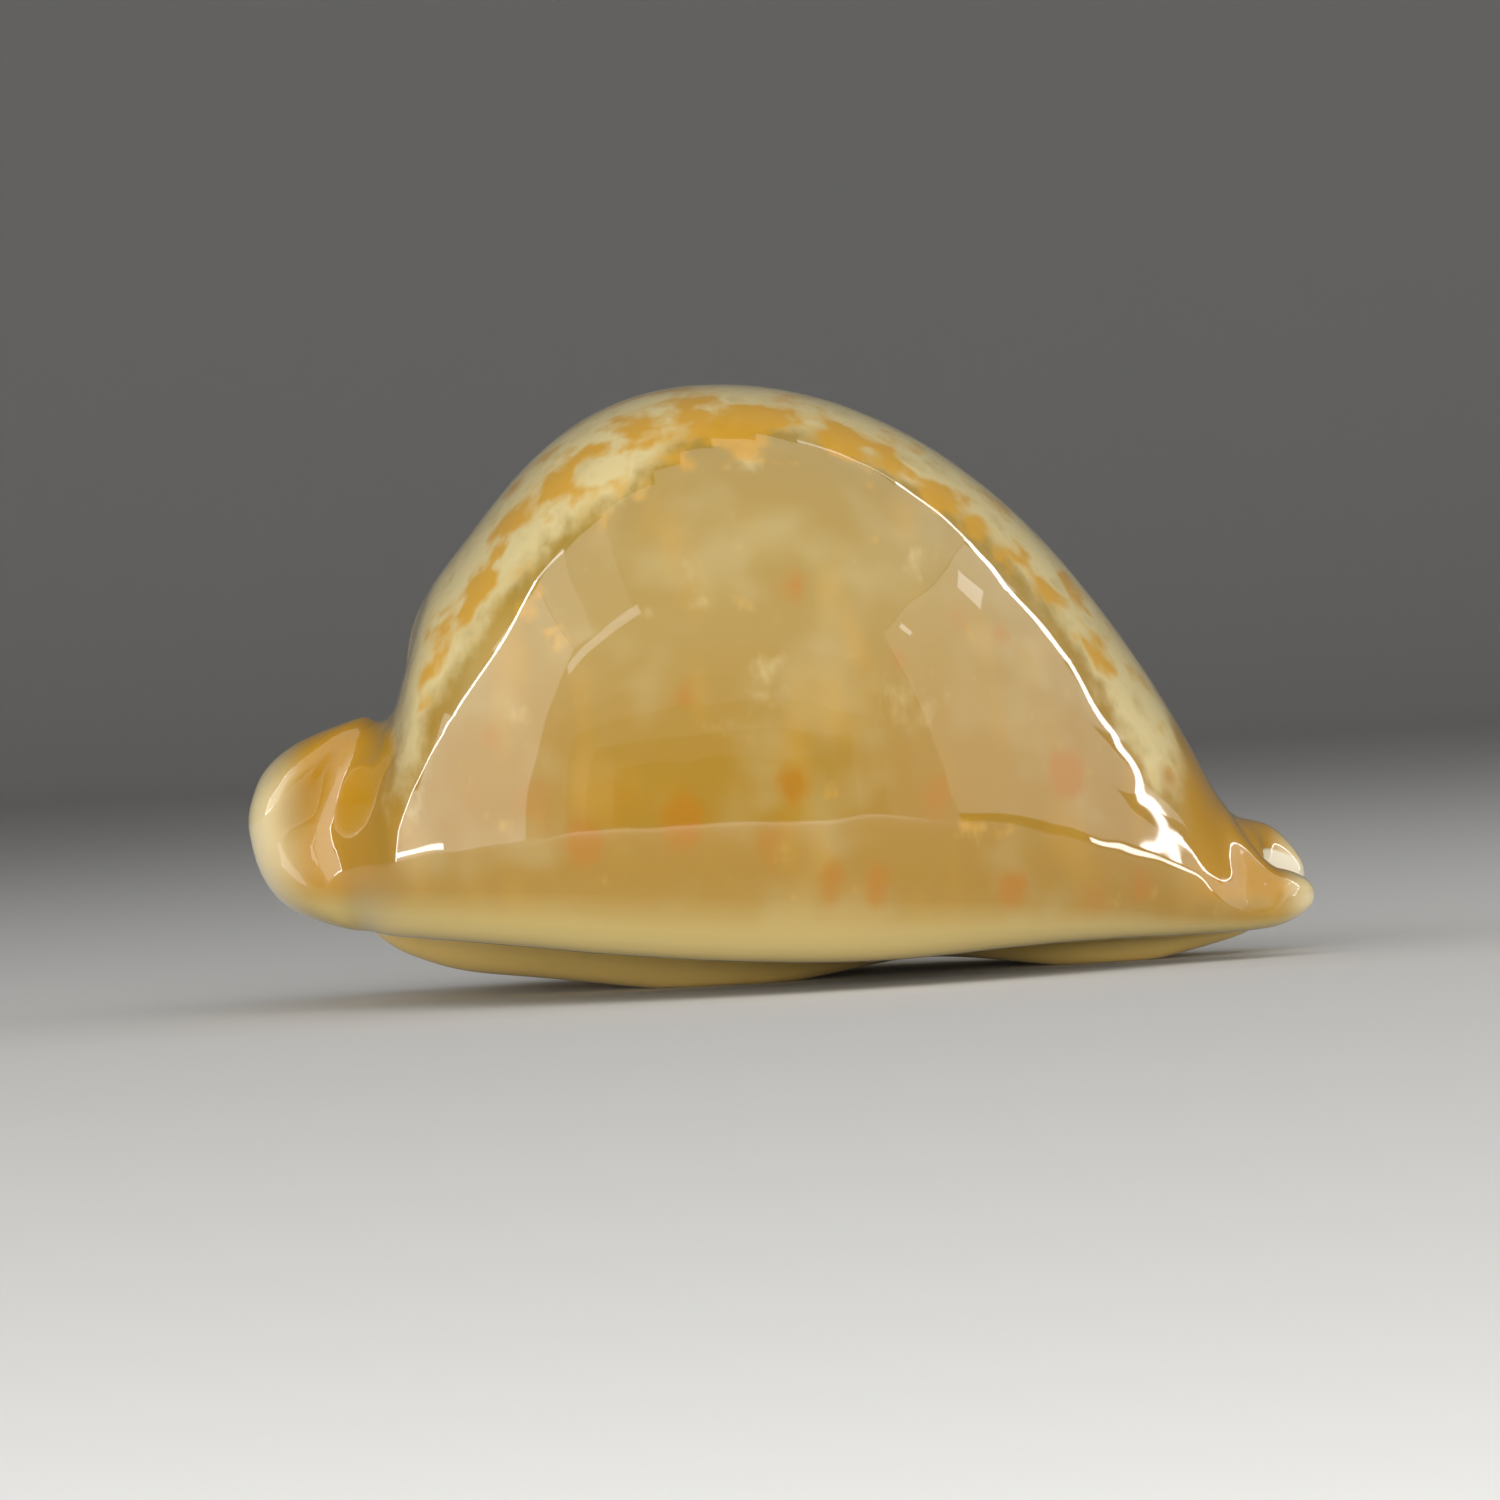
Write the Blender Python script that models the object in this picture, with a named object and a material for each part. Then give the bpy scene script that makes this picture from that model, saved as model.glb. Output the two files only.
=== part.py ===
"""An armeniaca cowry (Umbilia armeniaca), an apricot-coloured cowry shell, as one closed solid.

The wall is a thick sheet, rolled round the hollow of the body whorl. Its two long edges are the
toothed lips of the aperture underneath, and its two ends flare into the lobes of the canals.
-X is the blunt posterior end with its umbilicus, +X the narrow anterior end, -Y the side of the
outer lip (labrum) and +Y the side of the inner lip (columella).
Sizes are in millimetres until the mesh is made. The curves are drawn with both tips level, and
the finished shell is then tipped nose-down onto the two swellings of its base, as it lies.
"""

import math

import bpy
import numpy as np

MM = 0.001

# Driving dimensions
HALF_LENGTH = 46.0
REST_PITCH = math.radians(3.2)
FOOT_WEAR = 0.45
LEVEL_WITHIN = 0.07

# The grid that the shell is drawn on, and the triangles left once the calm ones are joined
FINENESS = 1.0
ROWS = 76
LIP_ROWS = 7
TRIANGLES = 9600
# How far from the aperture the teeth reach, and how much more of their mesh is kept
TOOTH_REACH = 6.0
TOOTH_CARE = 0.001

# Every curve below is a list of (x, value) points along the shell, joined by a natural spline.
DORSUM_HEIGHT = [
    (-46, 22.4), (-44.2, 23.2), (-42.5, 23.4), (-38.8, 23.9), (-35.8, 23.4), (-34.4, 23.8),
    (-32.9, 26.6), (-31.4, 32.0), (-29.0, 36.7), (-25.0, 42.0), (-20.5, 46.9), (-14.0, 50.9),
    (-6.0, 52.4), (3.4, 51.2), (11.0, 48.1), (19.0, 42.5), (26.0, 35.3), (31.5, 27.8),
    (36.0, 20.4), (39.0, 15.5), (41.2, 14.9), (43.6, 15.0), (46, 13.8),
]
LABRAL_WIDTH = [
    (-46, 11.0), (-43.5, 12.4), (-40.5, 12.6), (-38.4, 13.0), (-36.2, 15.2), (-33.5, 18.8),
    (-30, 22.2), (-25, 25.4), (-18, 28.2), (-10, 29.7), (-2, 30.0), (6, 29.2), (14, 26.9),
    (22, 23.0), (29, 18.0), (34, 13.8), (37.5, 11.2), (40.0, 10.2), (42.5, 9.8), (46, 8.2),
]
LABRAL_HEIGHT = [
    (-46, 13.8), (-40, 13.4), (-34, 13.4), (-24, 14.0), (0, 14.5), (16, 13.0), (28, 10.4),
    (38, 7.9), (46, 7.4),
]
LABRAL_RIM_INSET = [
    (-46, 4.4), (-38, 4.6), (-28, 4.6), (0, 4.8), (24, 4.4), (36, 3.6), (46, 2.8),
]
LABRAL_RIM_HEIGHT = [
    (-46, 5.3), (-38.8, 5.0), (-26, 4.5), (-12, 3.5), (2, 3.0), (10, 3.2), (19, 4.0),
    (30, 4.6), (38, 4.8), (42.5, 5.3), (46, 6.2),
]
COLUMELLAR_WIDTH = [
    (-46, 10.0), (-43.5, 11.8), (-40.5, 12.8), (-38.4, 13.8), (-36.2, 16.0), (-33.5, 19.4),
    (-30, 22.6), (-25, 25.6), (-18, 28.0), (-10, 29.3), (-2, 29.4), (6, 28.6), (14, 26.2),
    (22, 22.2), (29, 17.4), (34, 13.6), (37.5, 11.4), (40.0, 10.6), (42.5, 10.2), (46, 8.6),
]
COLUMELLAR_HEIGHT = [
    (-46, 13.4), (-38, 13.6), (-28, 15.6), (-10, 17.5), (6, 17.0), (20, 14.4), (32, 11.0),
    (40, 9.6), (46, 9.4),
]
COLUMELLAR_RIM_INSET = [
    (-46, 2.6), (-38, 4.4), (-28, 9.8), (-10, 15.0), (6, 14.6), (22, 9.6), (34, 5.0), (46, 3.2),
]
BASE_HEIGHT = [
    (-46, 5.3), (-39.5, 4.4), (-34.6, 3.2), (-29.3, 1.5), (-22.4, 0.7), (-14.0, 0.0),
    (-6.5, -0.4), (0, 0.2), (5.5, 1.3), (11.0, 2.35), (16.0, 2.45), (21.0, 2.0), (27.0, 1.55),
    (31.5, 1.9), (36.0, 3.0), (41.0, 4.5), (46, 6.3),
]
APERTURE_CENTRE = [
    (-46, 3.4), (-40, 2.4), (-34, 0.2), (-26, -3.2), (-14, -6.2), (0, -7.4), (12, -6.8),
    (24, -4.6), (34, -2.2), (41, -0.9), (46, -0.6),
]
APERTURE_HALF_WIDTH = [
    (-46, 1.75), (-40, 1.55), (-32, 1.25), (-12, 1.2), (10, 1.35), (24, 1.5), (34, 1.6),
    (40, 1.7), (46, 2.0),
]
HOLLOW_ROOF = [
    (-46, 14.4), (-40, 13.4), (-36, 12.8), (-32.5, 13.8), (-29, 18.0), (-25, 28.5),
    (-20, 39.5), (-13, 46.8), (-5, 49.4), (4, 48.2), (12, 44.4), (20, 38.0), (27, 29.6),
    (32, 21.4), (36, 14.0), (39, 10.4), (42, 9.2), (46, 9.0),
]
LABRAL_WALL = [
    (-46, 15.0), (-42, 15.0), (-38, 15.0), (-34, 14.0), (-30, 10.4), (-25, 7.0), (-16, 4.6),
    (0, 3.8), (14, 4.4), (24, 5.4), (31, 6.4), (36, 6.8), (40, 6.2), (46, 5.0),
]
COLUMELLAR_WALL = [
    (-46, 10.0), (-42, 10.0), (-38, 11.0), (-34, 13.0), (-30, 12.4), (-25, 10.6), (-16, 9.0),
    (0, 8.4), (14, 8.0), (24, 7.4), (31, 7.2), (36, 7.0), (40, 6.6), (46, 5.6),
]
LIP_DEPTH = [
    (-46, 4.4), (-40, 4.6), (-34, 5.0), (-26, 5.4), (20, 5.2), (32, 4.0), (38, 2.6), (46, 1.8),
]
COLUMELLAR_LIP_RADIUS = [
    (-46, 0.9), (-40, 1.3), (-34, 2.3), (-27, 3.6), (-10, 4.0), (18, 4.0), (30, 2.9), (38, 1.6),
    (46, 1.0),
]
# How square the section is: 2 is an ellipse
FULLNESS = [
    (-46, 2.7), (-38, 2.6), (-32, 2.25), (-22, 2.15), (24, 2.15), (34, 2.25), (41, 2.6), (46, 2.6),
]

# Where the sheet ends at each tip, as (share of the way round, x), from lip to lip
POSTERIOR_RIM = [
    (0.0, -44.0), (0.08, -45.2), (0.15, -46.0), (0.26, -46.0), (0.36, -45.8), (0.42, -44.8),
    (0.46, -42.8), (0.50, -41.6), (0.55, -42.2), (0.61, -43.8), (0.70, -44.8), (0.80, -44.8),
    (0.90, -44.2), (1.0, -43.2),
]
ANTERIOR_RIM = [
    (0.0, 43.2), (0.06, 45.0), (0.12, 46.0), (0.22, 46.0), (0.32, 45.4), (0.40, 44.2),
    (0.46, 42.6), (0.50, 42.2), (0.56, 43.2), (0.62, 44.9), (0.70, 46.0), (0.80, 46.0),
    (0.88, 45.2), (0.95, 43.8), (1.0, 42.8),
]

# Teeth: how many, from where to where, how deep the grooves are between them, and where on the
# lip they start. Those of the outer lip reach onto the base, by a share of the way round.
LABRAL_TEETH = {"count": 24, "span": (-37.5, 40.5), "groove": 1.1, "start": 0.0}
COLUMELLAR_TEETH = {"count": 19, "span": (-30, 38), "groove": 1.0, "start": 0.4}
BASE_GROOVE, BASE_REACH = 0.8, 0.045

# The ring round the shell is four arcs: base, side, side, base. Each takes this share of the rows.
ARC_ENDS = (0.0, 0.15, 0.48, 0.80, 1.0)
# The share of a base arc that lies on the flat of the base, before it turns up to the margin
BASE_SHARE = 0.62
LABRAL_RIM_FULLNESS = 2.6
COLUMELLAR_RIM_FULLNESS = 2.15
COLUMELLAR_RIM_RISE = 0.3
RIDGE_Y = 0.6

# The lips: a rounded edge, then a wall that leans outward a little. The inner lip is broadly
# rounded and lowest. The outer lip, whose radius is a share of its depth, stands above its rim.
LABRAL_LIP_ROUNDING = 0.32
LABRAL_LIP_RISE = 0.2
LIP_LEAN = 0.2
LIP_TURN = 0.6

# Inside the hollow, as shares of its height or of the wall's way to the lip
HOLLOW_SIDE_HEIGHTS = (0.30, 0.34)
HOLLOW_FLOOR_ENDS = (0.30, 0.45)
HOLLOW_FLOOR_RISE = 0.1

# How far from a tip's rim the wall starts to round over
POSTERIOR_ROUNDING = 5.4
ANTERIOR_ROUNDING = 3.6

# Swellings and hollows: the middle and the reach of each, as (x, y, z)
UMBILICUS_MIDDLE, UMBILICUS_REACH = (-34.8, 2.4, 23.4), (3.3, 3.3, 4.2)
UMBILICUS_PUSH = (4.34, -5.46)
SHOULDER_MIDDLE, SHOULDER_REACH = (-30.5, 8.5, 30.0), (4.0, 7.0, 6.5)
SHOULDER_RISE = 1.1
LOBE_MIDDLE_HEIGHT = 14.3
LOBE_HALF_HEIGHT = 10.2


def natural_spline(points):
    """A function that joins the points with cubic pieces of continuous curvature."""
    x, y = np.array(points, float).T
    step = np.diff(x)
    slope = np.diff(y) / step
    count = len(x)
    system = np.eye(count)
    right = np.zeros(count)
    for i in range(1, count - 1):
        system[i, i - 1 : i + 2] = step[i - 1], 2 * (step[i - 1] + step[i]), step[i]
        right[i] = 6 * (slope[i] - slope[i - 1])
    bend = np.linalg.solve(system, right)

    def value(at):
        at = np.clip(at, x[0], x[-1])
        i = np.clip(np.searchsorted(x, at) - 1, 0, count - 2)
        after = at - x[i]
        before = x[i + 1] - at
        curve = (bend[i] * before**3 + bend[i + 1] * after**3) / (6 * step[i])
        low = (y[i] / step[i] - bend[i] * step[i] / 6) * before
        high = (y[i + 1] / step[i] - bend[i + 1] * step[i] / 6) * after
        return curve + low + high

    return value


dorsum_height = natural_spline(DORSUM_HEIGHT)
labral_width = natural_spline(LABRAL_WIDTH)
labral_height = natural_spline(LABRAL_HEIGHT)
labral_rim_inset = natural_spline(LABRAL_RIM_INSET)
labral_rim_height = natural_spline(LABRAL_RIM_HEIGHT)
columellar_width = natural_spline(COLUMELLAR_WIDTH)
columellar_height = natural_spline(COLUMELLAR_HEIGHT)
columellar_rim_inset = natural_spline(COLUMELLAR_RIM_INSET)
base_height = natural_spline(BASE_HEIGHT)
aperture_centre = natural_spline(APERTURE_CENTRE)
aperture_half_width = natural_spline(APERTURE_HALF_WIDTH)
lip_depth = natural_spline(LIP_DEPTH)
columellar_lip_radius = natural_spline(COLUMELLAR_LIP_RADIUS)
hollow_roof = natural_spline(HOLLOW_ROOF)
labral_wall = natural_spline(LABRAL_WALL)
columellar_wall = natural_spline(COLUMELLAR_WALL)
section_fullness = natural_spline(FULLNESS)
posterior_rim = natural_spline(POSTERIOR_RIM)
anterior_rim = natural_spline(ANTERIOR_RIM)


def ease(share):
    """0 to 1 with level ends."""
    share = np.clip(share, 0, 1)
    return share * share * (3 - 2 * share)


def bell(distance):
    """A smooth bump: 1 at no distance, fading to 0 beyond about 2."""
    return np.exp(-(distance**2))


def bump(x, y, z, middle, reach):
    """A bell in space, with its own reach along each axis."""
    away = ((x - middle[0]) / reach[0]) ** 2 + ((y - middle[1]) / reach[1]) ** 2
    return bell(np.sqrt(away + ((z - middle[2]) / reach[2]) ** 2))


def pressed(height, floor, amount):
    """Lowers what stands above a floor by a share of its rise, which never folds it over."""
    rise = np.maximum(height - floor, 0)
    return height - amount * rise**2 / (rise + 3)


def quarter(share, fullness):
    """A quarter of a superellipse: how far across and how far up, each 0 to 1."""
    angle = share * math.pi / 2
    across = np.clip(np.cos(angle), 0, 1) ** (2 / fullness)
    up = np.clip(np.sin(angle), 0, 1) ** (2 / fullness)
    return across, up


def base_arc(share, ridge, rim, margin, fullness):
    """From a lip's ridge (share 0) along the base to the rim, then up to the margin (share 1)."""
    along = np.clip(share / BASE_SHARE, 0, 1)
    turn = np.clip((share - BASE_SHARE) / (1 - BASE_SHARE), 0, 1)
    left, out = quarter(turn, fullness)
    y = ridge[0] + (rim[0] - ridge[0]) * along + (margin[0] - rim[0]) * out
    z = ridge[1] + (rim[1] - ridge[1]) * ease(along) + (margin[1] - rim[1]) * (1 - left)
    return y, z


def side_arc(share, margin, top, fullness):
    """From the margin (share 0) up the side to the top (share 1)."""
    across, up = quarter(share, fullness)
    return top[0] + (margin[0] - top[0]) * across, margin[1] + (top[1] - margin[1]) * up


def lip_height(x, side):
    """The height of a lip's ridge. side is -1 for the outer lip and 1 for the inner lip."""
    return base_height(x) if side > 0 else labral_rim_height(x) + LABRAL_LIP_RISE


def lip_rounding(x, side):
    """The radius of a lip's rounded edge."""
    return columellar_lip_radius(x) if side > 0 else LABRAL_LIP_ROUNDING * lip_depth(x)


def ring(share, ridges, rims, margins, top, fullness):
    """The section's (y, z) at each share of the way round, from the outer lip to the inner lip."""
    part = [(share - start) / (end - start) for start, end in zip(ARC_ENDS, ARC_ENDS[1:])]
    arcs = (
        base_arc(part[0], ridges[0], rims[0], margins[0], LABRAL_RIM_FULLNESS),
        side_arc(part[1], margins[0], top, fullness),
        side_arc(1 - part[2], margins[1], top, fullness),
        base_arc(1 - part[3], ridges[1], rims[1], margins[1], COLUMELLAR_RIM_FULLNESS),
    )
    y, z = arcs[0]
    for start, (arc_y, arc_z) in zip(ARC_ENDS[1:], arcs[1:]):
        y = np.where(share >= start, arc_y, y)
        z = np.where(share >= start, arc_z, z)
    return y, z


def outer_section(x, share):
    """The outside of the shell: (y, z) at length x and share of the way round."""
    ridges = [
        (aperture_centre(x) + side * (aperture_half_width(x) + lip_rounding(x, side)),
         lip_height(x, side))
        for side in (-1, 1)
    ]
    rims = (
        (labral_rim_inset(x) - labral_width(x), labral_rim_height(x)),
        (columellar_width(x) - columellar_rim_inset(x), base_height(x) + COLUMELLAR_RIM_RISE),
    )
    margins = ((-labral_width(x), labral_height(x)), (columellar_width(x), columellar_height(x)))
    return ring(share, ridges, rims, margins, (RIDGE_Y, dorsum_height(x)), section_fullness(x))


def inner_section(x, share):
    """The wall of the hollow and of the canals, matching outer_section row for row."""
    floors = [lip_height(x, side) + lip_depth(x) for side in (-1, 1)]
    to_lip = aperture_half_width(x) + LIP_LEAN
    lips = (aperture_centre(x) - to_lip, aperture_centre(x) + to_lip)
    walls = (
        np.minimum(labral_wall(x) - labral_width(x), lips[0] - LIP_LEAN),
        np.maximum(columellar_width(x) - columellar_wall(x), lips[1] + LIP_LEAN),
    )
    ridges = list(zip(lips, floors))
    rims = [
        (wall + (edge - wall) * share_in, floor + HOLLOW_FLOOR_RISE)
        for wall, edge, share_in, floor in zip(walls, lips, HOLLOW_FLOOR_ENDS, floors)
    ]
    margins = [
        (wall, floor + (hollow_roof(x) - floor) * up)
        for wall, up, floor in zip(walls, HOLLOW_SIDE_HEIGHTS, floors)
    ]
    top = (np.clip(RIDGE_Y, walls[0] + LIP_LEAN, walls[1] - LIP_LEAN), hollow_roof(x))
    return ring(share, ridges, rims, margins, top, section_fullness(x))


def umbilicus(x, y, z):
    """The sunken spire: a pit pressed forward and down where the back meets the lobes."""
    pit = bump(x, y, z, UMBILICUS_MIDDLE, UMBILICUS_REACH)
    return x + UMBILICUS_PUSH[0] * pit, y, z + UMBILICUS_PUSH[1] * pit


def spire_shoulder(x, y, z):
    """The low swelling over the sunken spire, on the inner lip's side."""
    return x - SHOULDER_RISE * bump(x, y, z, SHOULDER_MIDDLE, SHOULDER_REACH), y, z


def posterior_lobes(x, y, z):
    """The groove over the posterior canal, and the trough between each lobe and the body."""
    groove = bell((y - 2.4) / 4.0) * ease((-35 - x) / 5)
    z = pressed(z, 14, 0.42 * groove)
    fall = np.clip((22.7 - z) / 9, 0, 1.5)
    fade = ease((z - 6.5) / 8.5) * ease((27.5 - z) / 8)
    trough = bell((x + 36.2 + 4.4 * fall) / 4.0) * fade
    dish = bell(np.hypot((x + 41.6) / 2.6, (z - 14.0) / 4.6))
    return x, y * (1 - 0.19 * trough - 0.04 * dish), z


def posterior_corners(x, y, z):
    """Draws the lobes' upper and lower corners in, so that each lobe is round from the side."""
    off_middle = np.clip((z - LOBE_MIDDLE_HEIGHT) / LOBE_HALF_HEIGHT, -0.93, 0.93)
    drawn_in = 8.4 * (1 - np.sqrt(1 - off_middle**2))
    return x + drawn_in * ease((-32 - x) / 12), y, z


def anterior_lobes(x, y, z):
    """The groove over the anterior canal, the lower lobe of the outer lip, and the neck."""
    toward_tip = ease((x - 38.6) / 4.6)
    groove = bell((y + 0.6) / 2.7) * toward_tip
    outer_lobe = ease((1.5 - y) / 4.5) * toward_tip
    z = pressed(z, 7.2, np.clip(0.52 * groove + 0.74 * outer_lobe, 0, 0.8))
    neck_x = 38.8 + 2.4 * np.clip((14 - z) / 7, 0, 1)
    neck = bell((x - neck_x) / 2.1) * ease((z - 6) / 4)
    return x, y * (1 - 0.15 * neck), z


def tooth_groove(x, teeth):
    """0 on the crest of each tooth, 1 in the grooves between them, and 0 past the last ones."""
    first, last = teeth["span"]
    place = (x - first) / (last - first) * teeth["count"]
    crest = 0.5 - 0.5 * np.cos(2 * math.pi * place)
    inside = ease((x - first + 1) / 2) * ease((last + 1 - x) / 2)
    return (1 - crest**0.8) * inside


def lip(x, share, side):
    """The rounded lip from its ridge (share 0) to its inner edge (share 1). side is -1 or 1."""
    angle = np.clip(share / LIP_TURN, 0, 1) * math.pi / 2
    rise = np.clip((share - LIP_TURN) / (1 - LIP_TURN), 0, 1)
    radius = lip_rounding(x, side)
    out = aperture_half_width(x) + radius * (1 - np.sin(angle)) + LIP_LEAN * rise**2
    up = radius * (1 - np.cos(angle)) + (lip_depth(x) - radius) * rise
    return aperture_centre(x) + side * out, lip_height(x, side) + up


def stations(fineness):
    """Lengths along the shell, from tip to tip, closer together at the ends and on the steep back."""
    lengths = (-46, -42.8, -38, -29, 36, 43.2, 46)
    counts = (6, 5, 11, 66, 8, 6)
    found = []
    for i, count in enumerate(counts):
        count = max(2, round(count * fineness))
        share = np.arange(count) / count
        if i == 0:
            share = 1 - np.cos(share * math.pi / 2)
        elif i == len(counts) - 1:
            share = np.sin(share * math.pi / 2)
        found.extend(lengths[i] + (lengths[i + 1] - lengths[i]) * share)
    return np.array(found + [HALF_LENGTH])


def place_lengths(x, share):
    """Moves each row's stations so that the row ends on the rims of the canals."""
    back, front = -28.0, 34.0
    tail = back + (x - back) * (posterior_rim(share) - back) / (-HALF_LENGTH - back)
    nose = front + (x - front) * (anterior_rim(share) - front) / (HALF_LENGTH - front)
    return np.where(x < back, tail, np.where(x > front, nose, x))


def rounding(x, share):
    """0 on the open wall, and 0.5 on the rim itself, where outside and inside meet."""
    behind = (x - posterior_rim(share)) / POSTERIOR_ROUNDING
    ahead = (anterior_rim(share) - x) / ANTERIOR_ROUNDING
    near = np.clip(np.minimum(behind, ahead), 0, 1)
    return 0.5 * (1 - np.sqrt(1 - (1 - near) ** 2))


def lip_strip(x, middle, blend, side, teeth):
    """The rows between outside and inside along one lip, with the grooves between its teeth."""
    part = np.linspace(0, 1, LIP_ROWS + 2)[1:-1]
    lip_x = np.repeat(x[:, None], LIP_ROWS, axis=1)
    y, z = lip(lip_x, part, side)
    groove = teeth["groove"] * tooth_groove(lip_x, teeth) * (1 - 0.6 * part)
    y = y + side * groove * np.clip((part - teeth["start"]) * 2, 0, 1)
    if side < 0:
        z = z + groove * (1 - np.clip(part * 1.4, 0, 1))
    strip = np.stack([lip_x, y, z], -1)
    return strip + (middle[:, None] - strip) * (2 * blend)[:, None, None]


def shell_points():
    """The rings of points, from tip to tip: outside, inner lip, inside, outer lip."""
    length = stations(FINENESS)
    share = np.broadcast_to(np.linspace(0, 1, ROWS), (len(length), ROWS))
    x = place_lengths(length[:, None], share)
    blend = rounding(x, share)

    outer = (x, *outer_section(x, share))
    for brush in (posterior_lobes, umbilicus, spire_shoulder, anterior_lobes):
        outer = brush(*outer)
    outer = np.stack(outer, -1)
    near_lip = 1 - ease(share / BASE_REACH)
    outer[..., 2] += BASE_GROOVE * tooth_groove(x, LABRAL_TEETH) * near_lip
    inner = np.stack((x, *inner_section(x, share)), -1)

    across = (inner - outer) * blend[..., None]
    outside, inside = outer + across, inner - across
    middle = (outer + inner) / 2
    columella = lip_strip(x[:, -1], middle[:, -1], blend[:, -1], 1, COLUMELLAR_TEETH)
    labrum = lip_strip(x[:, 0], middle[:, 0], blend[:, 0], -1, LABRAL_TEETH)
    rings = np.concatenate([outside, columella, inside[:, ::-1], labrum[:, ::-1]], axis=1)
    return np.stack(posterior_corners(*np.moveaxis(rings, -1, 0)), -1)


def rest(points):
    """Tips the shell onto its two swellings, wears them flat and centres it over the origin."""
    x, y, z = np.moveaxis(points, -1, 0)
    sine, cosine = math.sin(REST_PITCH), math.cos(REST_PITCH)
    height = z * cosine - x * sine
    height = np.maximum(height - height.min() - FOOT_WEAR, 0)
    turned = np.stack([x * cosine + z * sine, y, height], -1)
    corners = turned.reshape(-1, 3)
    middle = (corners.max(0) + corners.min(0)) / 2
    middle[2] = 0
    return turned - middle


def skin(name, points):
    """One closed mesh over the rings; outside and inside share their points on both rims."""
    length, around = points.shape[:2]
    index = np.arange(length * around).reshape(length, around)
    inside = slice(ROWS + LIP_ROWS, 2 * ROWS + LIP_ROWS)
    for end in (0, length - 1):
        index[end, inside] = index[end, :ROWS][::-1]
        index[end, ROWS : inside.start] = index[end, ROWS - 1]
        index[end, inside.stop :] = index[end, 0]
    faces = []
    for i in range(length - 1):
        for j in range(around):
            k = (j + 1) % around
            corners = (index[i, j], index[i + 1, j], index[i + 1, k], index[i, k])
            face = list(dict.fromkeys(int(c) for c in corners))
            if len(face) > 2:
                faces.append(face)
    used = sorted({corner for face in faces for corner in face})
    renumber = {old: new for new, old in enumerate(used)}
    places = points.reshape(-1, 3)[used] * MM
    mesh = bpy.data.meshes.new(name)
    mesh.from_pydata(places.tolist(), [], [[renumber[c] for c in face] for face in faces])
    return mesh


def with_fewer_triangles(obj, target):
    """Joins small triangles, most of all away from the teeth, where the surface is calm."""
    calm = obj.vertex_groups.new(name="calm")
    for vertex in obj.data.vertices:
        x, y, z = vertex.co / MM
        beside = ease((abs(y - aperture_centre(x)) - TOOTH_REACH) / 3)
        above = ease((z - 6 - abs(x) / 12) / 3)
        calm.add([vertex.index], float(max(beside, above)), "REPLACE")
    obj.data.calc_loop_triangles()
    modifier = obj.modifiers.new("fewer triangles", "DECIMATE")
    modifier.vertex_group = calm.name
    modifier.vertex_group_factor = TOOTH_CARE
    modifier.ratio = target / len(obj.data.loop_triangles)
    evaluated = obj.evaluated_get(bpy.context.evaluated_depsgraph_get())
    obj.data = bpy.data.meshes.new_from_object(evaluated)
    obj.modifiers.clear()
    obj.vertex_groups.clear()


def level_foot(mesh):
    """Sets the worn spots exactly level."""
    for vertex in mesh.vertices:
        if vertex.co.z < LEVEL_WITHIN * MM:
            vertex.co.z = 0


def shell_material():
    material = bpy.data.materials.new("apricot shell")
    material.use_nodes = True
    surface = material.node_tree.nodes["Principled BSDF"]
    surface.inputs["Base Color"].default_value = (0.72, 0.44, 0.17, 1)
    surface.inputs["Roughness"].default_value = 0.12
    surface.inputs["Metallic"].default_value = 0.0
    return material


def main():
    for obj in list(bpy.data.objects):
        bpy.data.objects.remove(obj)
    shell = bpy.data.objects.new("shell", skin("shell", rest(shell_points())))
    bpy.context.scene.collection.objects.link(shell)
    with_fewer_triangles(shell, TRIANGLES)
    level_foot(shell.data)
    shell.data.materials.append(shell_material())
    shell.data.shade_smooth()


main()
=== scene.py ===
"""An armeniaca cowry shell on a pale studio floor, seen from the side of its outer lip."""

import math
import random

import bpy
import numpy as np
from mathutils import Matrix, Vector, noise


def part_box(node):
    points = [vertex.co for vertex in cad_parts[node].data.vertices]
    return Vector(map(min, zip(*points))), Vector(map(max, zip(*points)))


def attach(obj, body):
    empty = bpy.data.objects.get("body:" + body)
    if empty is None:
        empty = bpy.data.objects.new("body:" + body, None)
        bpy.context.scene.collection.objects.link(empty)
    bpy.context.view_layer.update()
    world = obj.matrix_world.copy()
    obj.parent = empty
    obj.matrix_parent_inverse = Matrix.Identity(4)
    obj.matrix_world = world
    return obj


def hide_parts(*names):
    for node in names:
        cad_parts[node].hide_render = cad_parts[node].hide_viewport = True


MM = 0.001

# Driving dimensions
HALF_LENGTH = 46.0
REST_PITCH = math.radians(3.2)
FOOT_WEAR = 0.45

# The grid that the shell is drawn on
FINENESS = 2.4
ROWS = 150
LIP_ROWS = 12

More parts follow.
